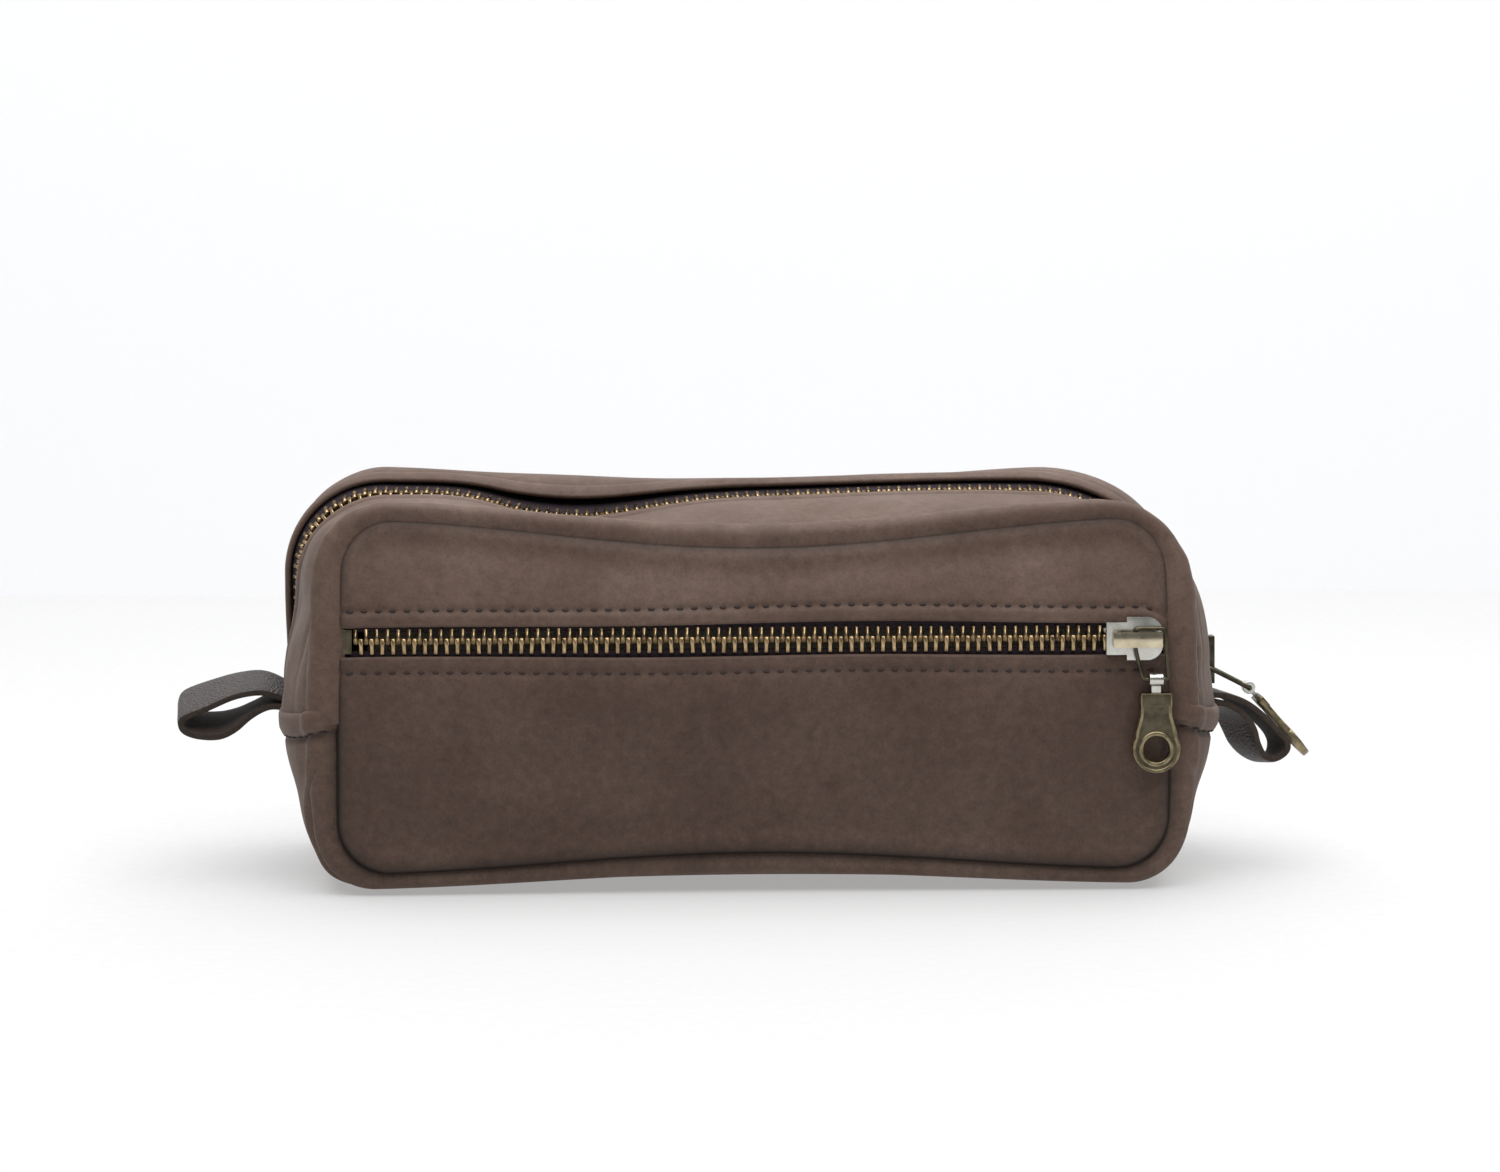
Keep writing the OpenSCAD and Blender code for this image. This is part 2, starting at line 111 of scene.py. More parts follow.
def add(tree, kind, **sockets):
    node = tree.nodes.new(kind)
    for key, value in sockets.items():
        if key.startswith("p_"):
            setattr(node, key[2:], value)
        else:
            node.inputs[key.replace("_", " ")].default_value = value
    return node


def noise(tree, coords, scale, detail=4.0, rough=0.55):
    node = add(tree, "ShaderNodeTexNoise", Scale=scale, Detail=detail, Roughness=rough)
    tree.links.new(coords, node.inputs["Vector"])
    return node.outputs["Fac"]


def ramp(tree, value, stops):
    node = tree.nodes.new("ShaderNodeValToRGB")
    elements = node.color_ramp.elements
    while len(elements) < len(stops):
        elements.new(0.5)
    for element, (place, colour) in zip(elements, stops):
        element.position = place
        element.color = (*colour, 1) if len(colour) == 3 else colour
    tree.links.new(value, node.inputs["Fac"])
    return node.outputs["Color"]


def grey(v):
    return (v, v, v)


def blend_colours(tree, mode, factor, a, b):
    node = add(tree, "ShaderNodeMix", p_data_type="RGBA", p_blend_type=mode)
    node.inputs[0].default_value = factor
    tree.links.new(a, node.inputs[6])
    tree.links.new(b, node.inputs[7])
    return node.outputs[2]


def bump(tree, height, strength, distance, normal=None):
    node = add(tree, "ShaderNodeBump", Strength=strength, Distance=distance)
    tree.links.new(height, node.inputs["Height"])
    if normal is not None:
        tree.links.new(normal, node.inputs["Normal"])
    return node.outputs["Normal"]


def nubuck(name, dark, mid, light):
    """Matte oiled nubuck: cloudy colour, fine nap, slight sheen and faint scuffs, darkened by painted shade along
    its seams.
    """
    material, tree, shader = node_tree(name)
    coords = tree.nodes.new("ShaderNodeTexCoord").outputs["Object"]
    clouds = noise(tree, coords, 26.0, 5.0, 0.6)
    base = ramp(tree, clouds, [(0.3, dark), (0.5, mid), (0.72, light)])
    nap = ramp(tree, noise(tree, coords, 420.0, 3.0, 0.7), [(0.3, grey(0.80)), (0.7, grey(1.12))])
    base = blend_colours(tree, "MULTIPLY", 1.0, base, nap)
    speck = ramp(tree, noise(tree, coords, 1500.0, 2.0, 0.6), [(0.32, grey(0.72)), (0.55, grey(1.05))])
    base = blend_colours(tree, "MULTIPLY", 0.5, base, speck)
    # painted shade in the seam grooves: a per-point value from 0 to 1 that darkens the leather almost to black
    # where it is 1
    seam = add(tree, "ShaderNodeAttribute")
    seam.attribute_name = "seam"
    shaded = ramp(tree, seam.outputs["Fac"], [(0.0, grey(1.0)), (0.9, grey(0.07))])
    base = blend_colours(tree, "MULTIPLY", 1.0, base, shaded)
    tree.links.new(base, shader.inputs["Base Color"])
    rough = ramp(tree, noise(tree, coords, 60.0, 4.0), [(0.3, grey(0.56)), (0.7, grey(0.72))])
    tree.links.new(rough, shader.inputs["Roughness"])
    shader.inputs["Specular IOR Level"].default_value = 0.28
    shader.inputs["Sheen Weight"].default_value = 0.06
    shader.inputs["Sheen Roughness"].default_value = 0.5
    shader.inputs["Sheen Tint"].default_value = (0.75, 0.66, 0.6, 1)
    soft = bump(tree, noise(tree, coords, 95.0, 3.0), 0.22, 0.0010)
    pores = add(tree, "ShaderNodeTexVoronoi", Scale=900.0)
    tree.links.new(coords, pores.inputs["Vector"])
    grain = bump(tree, pores.outputs["Distance"], 0.10, 0.0002, soft)
    fine = bump(tree, noise(tree, coords, 1300.0, 3.0, 0.7), 0.22, 0.00018, grain)
    tree.links.new(fine, shader.inputs["Normal"])
    return material


def pebbled(name, colour, edge):
    material, tree, shader = node_tree(name)
    coords = tree.nodes.new("ShaderNodeTexCoord").outputs["Object"]
    cells = add(tree, "ShaderNodeTexVoronoi", Scale=1500.0)
    tree.links.new(coords, cells.inputs["Vector"])
    base = ramp(tree, cells.outputs["Distance"], [(0.0, edge), (0.6, colour)])
    tree.links.new(base, shader.inputs["Base Color"])
    shader.inputs["Roughness"].default_value = 0.52
    shader.inputs["Specular IOR Level"].default_value = 0.45
    soft = bump(tree, noise(tree, coords, 500.0, 4.0), 0.4, 0.0006)
    pebble = bump(tree, cells.outputs["Distance"], 0.8, 0.0006, soft)
    tree.links.new(pebble, shader.inputs["Normal"])
    return material


def plain(name, colour, rough, metallic=0.0, spots=0.0, scale=300.0, bumpy=0.0):
    """One colour, worn a little by noise."""
    material, tree, shader = node_tree(name)
    coords = tree.nodes.new("ShaderNodeTexCoord").outputs["Object"]
    wear = noise(tree, coords, scale, 4.0)
    low = tuple(c * (1 - spots) for c in colour)
    high = tuple(min(1, c * (1 + spots)) for c in colour)
    tree.links.new(ramp(tree, wear, [(0.35, low), (0.65, high)]), shader.inputs["Base Color"])
    shader.inputs["Metallic"].default_value = metallic
    rough_map = ramp(tree, wear, [(0.3, grey(rough * 0.8)), (0.7, grey(min(1, rough * 1.25)))])
    tree.links.new(rough_map, shader.inputs["Roughness"])
    if bumpy:
        tree.links.new(bump(tree, wear, bumpy, 0.0002), shader.inputs["Normal"])
    return material


def woven(name, colour):
    """Fine woven tape or cloth."""
    material, tree, shader = node_tree(name)
    coords = tree.nodes.new("ShaderNodeTexCoord").outputs["Object"]
    stripes = add(tree, "ShaderNodeTexWave", p_bands_direction="DIAGONAL", Scale=900.0, Distortion=1.0)
    tree.links.new(coords, stripes.inputs["Vector"])
    low = tuple(c * 0.6 for c in colour)
    high = tuple(c * 1.3 for c in colour)
    tree.links.new(ramp(tree, stripes.outputs["Fac"], [(0.2, low), (0.8, high)]), shader.inputs["Base Color"])
    shader.inputs["Roughness"].default_value = 0.9
    tree.links.new(bump(tree, stripes.outputs["Fac"], 0.5, 0.0002), shader.inputs["Normal"])
    return material


LEATHER = nubuck("body_leather", (0.088, 0.053, 0.038), (0.113, 0.071, 0.053), (0.144, 0.096, 0.074))
# the lower front panel's leather is a darker copy of the body leather: painted shade, for the lower panel lying
# darker under the light from above
SHADED_LOW_LEATHER = nubuck("body_leather_painted_shade", (0.068, 0.039, 0.028), (0.086, 0.052, 0.038), (0.108, 0.070, 0.053))
RAW_EDGE = plain("raw_edge", (0.036, 0.024, 0.017), 0.95, spots=0.45, scale=1500.0, bumpy=0.8)
STRAP = pebbled("loop_leather", (0.046, 0.036, 0.032), (0.018, 0.013, 0.012))
TAPE = woven("zip_tape", (0.017, 0.008, 0.013))
RIM_BRASS = plain("worn_brass", (0.25, 0.205, 0.12), 0.36, 1.0, spots=0.35, scale=500.0, bumpy=0.15)
CAP_METAL = plain("slider_bridge", (0.56, 0.49, 0.35), 0.22, 1.0, spots=0.15, scale=300.0, bumpy=0.1)
BRASS = plain("antique_brass", (0.43, 0.31, 0.17), 0.32, 1.0, spots=0.35, scale=500.0, bumpy=0.15)
DARK_BRASS = plain("dark_brass", (0.095, 0.082, 0.055), 0.40, 1.0, spots=0.35, scale=350.0, bumpy=0.2)
NICKEL = plain("nickel", (0.62, 0.61, 0.56), 0.30, 1.0, spots=0.14, scale=300.0, bumpy=0.1)
THREAD = plain("thread", (0.026, 0.014, 0.011), 0.75, spots=0.3, scale=1200.0, bumpy=0.5)
LINING = woven("lining_fabric", (0.30, 0.27, 0.22))

# ---------------------------------------------------------------- mesh helpers


def unit(v):
    return v / np.maximum(np.linalg.norm(v, axis=-1, keepdims=True), 1e-9)


def make(name, points, faces, material, normals=None, sharp=None, seam=None):
    mesh = bpy.data.meshes.new(name)
    mesh.from_pydata((np.asarray(points, float) * MM).tolist(), [], [tuple(f) for f in faces])
    mesh.update()
    obj = bpy.data.objects.new(name, mesh)
    bpy.context.scene.collection.objects.link(obj)
    mesh.materials.append(material)
    mesh.shade_smooth()
    if sharp is not None:
        mesh.set_sharp_from_angle(angle=math.radians(sharp))
    if normals is not None:
        mesh.normals_split_custom_set_from_vertices(normals.tolist())
    # a per-point painted shade along seams, which the leather's material reads
    if seam is not None:
        attribute = mesh.attributes.new("seam", "FLOAT", "POINT")
        attribute.data.foreach_set("value", np.asarray(seam, np.float32).ravel())
    return obj


def sweep_faces(rows, cols):
    """Faces that join closed rows of points, with a cap at both ends."""
    faces = []
    for i in range(rows - 1):
        for j in range(cols):
            k = (j + 1) % cols
            faces.append((i * cols + j, i * cols + k, (i + 1) * cols + k, (i + 1) * cols + j))
    faces.append(tuple(range(cols))[::-1])
    faces.append(tuple((rows - 1) * cols + j for j in range(cols)))
    return faces


def ring_faces(rows, cols):
    """Faces that join closed rows of points, the last row to the first."""
    return [(i * cols + j, i * cols + (j + 1) % cols, ((i + 1) % rows) * cols + (j + 1) % cols,
             ((i + 1) % rows) * cols + j) for i in range(rows) for j in range(cols)]


def grid_normals(grid):
    return unit(np.cross(np.gradient(grid, axis=0), np.gradient(grid, axis=1)))


def vertex_normals(points, faces):
    """Area-weighted vertex normals of a mesh with faces of three or four corners."""
    points = np.asarray(points, float)
    total = np.zeros_like(points)
    quads = np.array([f if len(f) == 4 else (*f, f[2]) for f in faces if len(f) < 5])
    a, b, c, d = (points[quads[:, k]] for k in range(4))
    n = np.cross(c - a, d - b)
    n[quads[:, 2] == quads[:, 3]] = np.cross(b - a, c - a)[quads[:, 2] == quads[:, 3]]
    for k in range(4):
        np.add.at(total, quads[:, k], n)
    return unit(total)


def halves(name, points, faces, material, seam=None):
    """The mesh cut at x = 0 into a right and a left object whose shading still meets."""
    points = np.asarray(points, float)
    normals = vertex_normals(points, faces)
    made = []
    for side, tag in ((1, "right"), (-1, "left")):
        kept = [f for f in faces if side * sum(points[v][0] for v in f) >= 0]
        used = sorted({v for f in kept for v in f})
        renumber = {v: i for i, v in enumerate(used)}
        part = [[renumber[v] for v in f] for f in kept]
        # the painted seam shade is split with the points
        dark = None if seam is None else np.asarray(seam).ravel()[used]
        made.append(make(f"{name}_{tag}", points[used], part, material, normals[used], seam=dark))
    return made


def sheet_solid(outer, thickness, flip=False):
    """Loops round a sheet: its outer grid, a round edge at the last column, and its inner side."""
    across = np.gradient(outer, axis=1)
    n = grid_normals(outer)
    if flip:
        n = -n
    inner = outer - thickness * n
    centre = (outer[:, -1] + inner[:, -1]) / 2
    reach = unit(across[:, -1])
    arc = [centre + thickness / 2 * (n[:, -1] * math.cos(a) + reach * math.sin(a))
           for a in np.linspace(0, math.pi, 7)[1:-1]]
    return np.concatenate([outer, np.stack(arc, 1), inner[:, ::-1]], axis=1)


def run_in(grid, axis):
    """Distance along a grid's surface from its nearer edge."""
    steps = np.linalg.norm(np.diff(grid, axis=axis), axis=-1)
    first = np.insert(np.cumsum(steps, axis), 0, 0, axis)
    return np.minimum(first, first.max(axis, keepdims=True) - first)


def seam_shade(loops, distance):
    """Painted shade along a seam: 1 on the seam and 0 away from it, for every point of a sheet's loops."""
    shade = np.zeros(loops.shape[:2])
    shade[:, :distance.shape[1]] = 0.95 * gauss(distance, 1.15) + 0.3 * gauss(distance, 3.2)
    return shade


def flat(loops):
    return loops.reshape(-1, 3), sweep_faces(loops.shape[0], loops.shape[1])


def lengths(path):
    return np.concatenate([[0], np.cumsum(np.linalg.norm(np.diff(path, axis=0), axis=1))])


def resample(path, values, places):
    """Values along a path at the given distances."""
    s = lengths(path)
    return np.stack([np.interp(places, s, values[:, k]) for k in range(values.shape[1])], 1)


def smooth_step(t):
    t = np.clip(t, 0, 1)
    return t * t * (3 - 2 * t)


def gauss(d, width):
    return np.exp(-(d / width) ** 2)


def waves(a, b, seed):
    """Gentle bumps over two coordinates in mm, about -1 to 1."""
    r = np.random.default_rng(seed)
    total = 0
    for k in range(6):
        wavelength = r.uniform(18, 60)
        angle = r.uniform(0, math.pi)
        phase = r.uniform(0, 2 * math.pi)
        total = total + np.sin(2 * math.pi * (a * math.cos(angle) + b * math.sin(angle)) / wavelength + phase)
    return total / 6


# ---------------------------------------------------------------- the bag's shape

CROSS_Z = 43.0
PANEL_LOW = 4.8
PANEL_HIGH = 92.8
PANEL_CORNER = 14
# how far the middle of a panel's lower and upper edge is drawn in
LOW_ARCH = 4.6
HIGH_ARCH = 7.2


def drawn_in(x):
    """1 at the middle of the bag and 0 at its ends."""
    return np.cos(np.pi / 2 * np.clip(np.abs(x) / PANEL_X, 0, 1)) ** 2


def quarter(u, half, z_far, r, power, z_start):
    """Points (x, z) on a quarter of an outline: up the end, round the corner, then to the middle."""
    s = 1 if z_far > 50 else -1
    turn = np.clip(u - 1, 0, 1) * math.pi / 2
    z_turn = z_far - s * r
    x = np.where(u <= 1, half, half - r + r * np.cos(turn) ** (2 / power))
    z = np.where(u <= 1, z_start + (z_turn - z_start) * u, z_turn + s * r * np.sin(turn) ** (2 / power))
    x = np.where(u > 2, (half - r) * (3 - u), x)
    z = np.where(u > 2, z_far, z)
    return x, z


def zip_wiggle(x):
    """How far the main zip dips below its neighbours along the bag."""
    fade = smooth_step((84 - np.abs(x)) / 26)
    return fade * (5.2 * gauss(x + 45, 25) - 0.8 * gauss(x - 48, 34))


def zip_shift(x):
    """How far the main zip wanders to the back."""
    fade = smooth_step((80 - np.abs(x)) / 35)
    return fade * (1.8 * np.sin((x + 12) / 23) - 0.8)


def lean(z):
    """How far the panels lean back above the pocket zip, and draw in at their foot."""
    return 7.5 * smooth_step((z - 62) / 32) + 2.6 * smooth_step((52 - z) / 48)


def tuck(w):
    """1 where a shell piece turns in under the panel's edge, 0 from a millimetre on."""
    return np.clip(1 - w / 0.9, 0, 1) ** 2


def seam_roll(w, height):
    return height * gauss(w - 2.2, 1.9) - 0.55 * gauss(w - 6.6, 2.2)


def pushed_out(x, y, z, lift, side, u, w, up):
    """A shell's points, moved lift mm outward; its edges follow the lean of the panels."""
    turn = np.clip(u - 1, 0, 1) * math.pi / 2
    nx = np.where(u > 2, 0, np.cos(turn) * side)
    z = z + np.where(u > 2, 1, np.sin(turn)) * up * lift
    yy = np.where(y < 0, -1, 1) * (np.abs(y) - lean(z) * gauss(w, 11))
    return np.stack([side * x + nx * lift, yy, np.maximum(z, 0.0)], -1)


def top_skin(s, y, w=None):
    """The outside of the upper shell: s runs from -3 at the left cross seam over the top to 3, y across.
    w is the distance in from the panel seam."""
    w = SEAM_Y - np.abs(y) if w is None else w
    side = np.where(s < 0, -1.0, 1.0)
    u = 3 - np.abs(s)
    inner = np.clip(1 - w / SEAM_Y, 0, 1)
    on_top = smooth_step((u - 1.2) / 0.8)
    f = (1 - inner ** 2.4) ** 0.6
    f = f + ((1 - inner ** 1.9) ** 0.72 - f) * on_top * (y < 0)
    off_zip = smooth_step((SEAM_Y - w - 5) / 12)
    z0 = CROSS_Z - 4.5 * f
    r = np.where(side > 0, CORNER_R - 4 * off_zip, 23.0)
    ex, ez = quarter(u, PANEL_X, PANEL_HIGH, 15.0, 2.15, z0)
    mx, mz = quarter(u, MID_X, TOP_Z, r, 2.0 + 0.1 * off_zip, z0)
    x = ex + (mx - ex) * f
    z = ez + (mz - ez) * f
    x = x + (0.6 * gauss(z - 46, 13) - np.where(side > 0, 3.0, 1.6) * gauss(z - 66, 26)) * f * off_zip
    drawn = drawn_in(x)
    z = z - drawn * np.clip((z - 60) / 25, 0, 1) * (HIGH_ARCH * (1 - f) + 1.3 * f)
    across = y - zip_shift(x * side)
    away = np.abs(across)
    # the zip lies tilted to the front, lower than the roll behind it
    tilt = np.where(side > 0, smooth_step((u - 1.12) / 0.6), smooth_step((u - 0.3) / 0.6))
    behind = 1.5 * (1 - 0.9 * smooth_step((across - 3) / 14))
    drop = 3.6 + np.where(side < 0, 2.2, 1.0) * gauss(u - 1.5, 0.6)
    lift = np.tanh(across / 9) * np.where(across < 0, drop, behind) * tilt * smooth_step(w / 13)
    # and the whole front side follows it where it sags
    sag = np.where(across < 0, smooth_step(w / 18), gauss(across, 9.0))
    lift = lift - zip_wiggle(x * side) * sag
    roll = np.where(across < 0, 1.2 - 0.7 * on_top, 1.9 - 1.2 * on_top * drawn)
    lift = lift + (roll + 0.5 * gauss(u - 1.5, 0.55)) * gauss(away - 17, 9.0)
    lift = lift + seam_roll(w, 1.7)
    # folds that follow the seam round the left corner, and slacker ones at the right
    fold = gauss(u - 1.3, 0.85)
    lift = lift - np.where(side < 0, 1.0, 0.5) * fold * gauss(w - 5.6 - 0.9 * np.sin(u * 3), 1.0)
    lift = lift + np.where(side < 0, 0.5, 0.3) * fold * gauss(w - 8.2 - 0.9 * np.sin(u * 3), 1.5)
    lift = lift - np.where(side < 0, 0.9, 0.4) * fold * gauss(w - 11.5 - 1.4 * np.sin(u * 2.3), 1.2)
    lift = lift + 0.7 * waves(s * 60, y, 3) * np.clip(w / 12, 0, 1) * np.clip((away - 7) / 6, 0, 1)
    lift = lift + 0.13 * np.sin(s * 26 + np.sin(s * 7)) * gauss(w - 5, 4.5)
    lift = lift - 0.55 * gauss(away - MAIN_LIP - 3.0, 0.8) + 0.25 * gauss(away - MAIN_LIP - 1.4, 1.0)
    lift = lift - 0.7 * np.clip(1 - (away - MAIN_LIP) / 2.2, 0, 1) ** 2 * on_top
    lift = lift - 2.4 * tuck(w)
    return pushed_out(x, y, z, lift, side, u, w, 1)


def low_skin(s, y, w=None):
    """The outside of the bottom gusset, from the left cross seam under the bag to the right one."""
    w = SEAM_Y - np.abs(y) if w is None else w
    side = np.where(s < 0, -1.0, 1.0)
    u = 3 - np.abs(s)
    inner = np.clip(1 - w / SEAM_Y, 0, 1)
    f = (1 - inner ** 2.8) ** 0.55
    z0 = CROSS_Z + 3.2 - 5.0 * f
    ex, ez = quarter(u, PANEL_X, PANEL_LOW, 13.0, 2.1, z0)
    mx, mz = quarter(u, MID_X + 1.4, 0.0, 13.0, 2.1, z0)
    x = ex + (mx - ex) * f
    z = ez + (mz - ez) * f
    x = x * (1 - np.where(side < 0, 0.068, 0.089) * smooth_step((40 - z) / 40) * f)
    drawn = drawn_in(x)
    z = z + drawn * np.clip((24 - z) / 14, 0, 1) * LOW_ARCH * (1 - 0.8 * f)
    lift = seam_roll(w, 1.6)
    lift = lift + 0.7 * waves(s * 60, y, 5) * np.clip(w / 12, 0, 1) * np.clip(2.2 - u, 0, 1)
    below = z0 - z
    lift = lift - 0.8 * gauss(below - 4.7, 0.7) * np.clip(1.6 - u, 0, 1)
    # a fold leaves the seam and hugs the lower corner
    crease = 1.0 + 5.4 * smooth_step((u - 0.34) / 0.5)
    near = smooth_step((u - 0.3) / 0.2) * (1 - smooth_step((u - 1.5) / 0.8))
    lift = lift - np.where(side < 0, 1.7, 0.8) * near * gauss(w - crease, 1.0)
    lift = lift + np.where(side < 0, 0.8, 0.3) * near * gauss(w - crease - 2.6, 1.8)
    lift = lift - 2.4 * tuck(w)
    return pushed_out(x, y, z, lift, side, u, w, -1)


def path_places(n_end, n_corner, n_top):
    """Places from 0 at the middle of the top to 3 at the cross seam, then mirrored."""
    top = np.linspace(0, 1, n_top, endpoint=False)
    corner = np.linspace(1, 2, n_corner, endpoint=False)
    half = np.concatenate([top, corner, np.linspace(2, 3, n_end)])
    return np.concatenate([-half[:0:-1], half])


# ---------------------------------------------------------------- leather panels


def panel_edge(x):
    """Lowest and highest z of a panel at x, with round corners and its middle drawn in."""
    past = np.clip((np.abs(x) - (PANEL_X - PANEL_CORNER)) / PANEL_CORNER, 0, 1)
    drop = PANEL_CORNER * (1 - np.sqrt(1 - past ** 2 * 0.9999))
    drawn = drawn_in(x)
    return PANEL_LOW + LOW_ARCH * drawn + drop, PANEL_HIGH - HIGH_ARCH * drawn - drop


def edge_distance(x, z):
    """Distance in mm from the panel's outline, for points inside it."""
    drawn = drawn_in(x)
    low, high = PANEL_LOW + LOW_ARCH * drawn, PANEL_HIGH - HIGH_ARCH * drawn
    cx = np.maximum(np.abs(x) - (PANEL_X - PANEL_CORNER), 0)
    cz = np.maximum(np.maximum(low + PANEL_CORNER - z, z - high + PANEL_CORNER), 0)
    corner = PANEL_CORNER - np.hypot(cx, cz)
    straight = np.minimum(PANEL_X - np.abs(x), np.minimum(z - low, high - z))
    return np.where((cx > 0) & (cz > 0), corner, straight)


def panel_y(x, z, seed):
    """How far a panel's face stands out at a point, counted from the middle of the bag."""
    d = edge_distance(x, z)
    round_in = 2.2 * np.clip(1 - d / 1.9, 0, 1) ** 2
    puffed = 0.55 * gauss(d - 3.4, 2.0) - 0.25 * gauss(d - 8.0, 2.6)
    off_zip = 1 - gauss(z - POCKET_Z, 9.0)
    belly = (1.1 * np.clip(d / 30, 0, 1) + 0.6 * waves(x * 0.8, z, seed) * np.clip(d / 14, 0, 1)) * off_zip
    under_slider = 0.35 * gauss(z - POCKET_Z, 8.0)
    return SEAM_Y - lean(z) - round_in + puffed + belly - under_slider


def columns():
    """x of a panel's columns, closer together near both ends."""
    t = np.linspace(-1, 1, 331)
    return PANEL_X * np.sign(t) * (1 - (1 - np.abs(t)) ** 1.25)


def spaced(n, low_power, high_power):
    """0 to 1, closer together at each end that has a power above 1."""
    t = np.linspace(0, 1, n)
    a = t ** low_power
    b = 1 - (1 - t) ** high_power
    return a * (1 - t) + b * t


def lip_height(x, sign):
    """Height of the leather's edge beside the pocket zip; the upper one turns down at the slider."""
    edge = POCKET_Z + sign * POCKET_LIP + 0.25 * np.sin(x / 17)
    if sign > 0:
        edge = edge + 0.5 * np.sin((x + 30) / 40) - 2.6 * smooth_step((x - 95) / 7)
    return edge


def panel_grid(sign, seed):
    """Grid of a front panel piece from its outer seam to its zip edge (sign 1 is the upper piece)."""
    x = columns()
    t = spaced(54, 1.8, 1.6)
    low, high = panel_edge(x)
    start = high if sign > 0 else low
    end = lip_height(x, sign)
    z = start[:, None] + (end - start)[:, None] * t[None, :]
    xs = np.repeat(x[:, None], len(t), 1)
    y = panel_y(xs, z, seed)
    from_lip = np.abs(z - lip_height(xs, sign))
    y = y - STITCH_DENT * gauss(from_lip - STITCH_IN, 0.8) + 0.12 * gauss(from_lip - 1.4, 1.3)
    y = y + 0.10 * gauss(from_lip - STITCH_IN, 1.6) * np.sin(2 * np.pi * xs / STITCH_PITCH)
    return np.stack([xs, -y, z], -1)


def panel_shade(loops, grid):
    # painted shade along the panel's seam
    return seam_shade(loops, edge_distance(grid[..., 0], grid[..., 2]))


def front_panels():
    upper = panel_grid(1, 11)
    loops = sheet_solid(upper, LEATHER_T, True)
    obj = make("front_upper_leather", *flat(loops), LEATHER, seam=panel_shade(loops, upper))
    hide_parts("front_upper_panel")
    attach(obj, "bag")
    lower = panel_grid(-1, 12)
    loops = sheet_solid(lower, LEATHER_T)
    made = halves("front_lower_leather", *flat(loops), SHADED_LOW_LEATHER, panel_shade(loops, lower))
    for obj in made:
        bend_pocket(obj)
    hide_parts("front_lower_panel", "front_lower_panel_ends")


def bend_pocket(obj):
    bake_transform(obj)


def bend_mouth(obj):
    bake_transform(obj)


def back_panel():
    x = columns()
    low, high = panel_edge(x)
    t = spaced(70, 1.7, 1.7)
    z = low[:, None] + (high - low)[:, None] * t[None, :]
    xs = np.repeat(x[:, None], len(t), 1)
    grid = np.stack([xs, panel_y(xs, z, 21), z], -1)
    loops = sheet_solid(grid, LEATHER_T, True)
    obj = make("back_leather", *flat(loops), LEATHER, seam=panel_shade(loops, grid))
    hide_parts("back_panel")
    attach(obj, "bag")


# ---------------------------------------------------------------- top strips, gusset and lining


def strip_columns(lip):
    """Distances in from the seam, and the y they stand at; the first ones turn in under the panel's edge."""
    edge = SEAM_Y - lip
    w = np.concatenate([[0, 0.2, 0.4, 0.65, 0.9, 1.3], np.arange(1.8, 14, 0.6),
                        np.linspace(14.2, edge - 6, 17), np.linspace(edge - 5.2, edge, 10)])
    return w, SEAM_Y + 0.1 - w - 2.2 * tuck(w)


def strip_grid(side, lip, places):
    w, y = strip_columns(lip)
    s = np.repeat(places[:, None], len(w), 1)
    w = np.repeat(w[None, :], len(places), 0)
    y = np.repeat(y[None, :], len(places), 0)
    shift = zip_shift(top_skin(s, side * y, w)[..., 0])
    weight = np.clip(w / (SEAM_Y - lip), 0, 1) ** 1.5
    return top_skin(s, side * y + shift * weight, w)


def top_strips():
    places = path_places(26, 44, 120)
    for side, name, body in ((-1, "front", "mouth_front"), (1, "back", "mouth_back")):
        grid = strip_grid(side, MAIN_LIP, places)
        loops = sheet_solid(grid, LEATHER_T, side < 0)
        # painted shade along the strip's seam, none on its zip side
        shade = seam_shade(loops, run_in(grid, 1))
        shade[:, grid.shape[1] // 2:] = 0
        made = halves(f"{name}_strip_leather", *flat(loops), LEATHER, shade)
        for obj in made:
            bend_mouth(obj)
        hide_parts(f"{name}_strip", f"{name}_strip_ends")


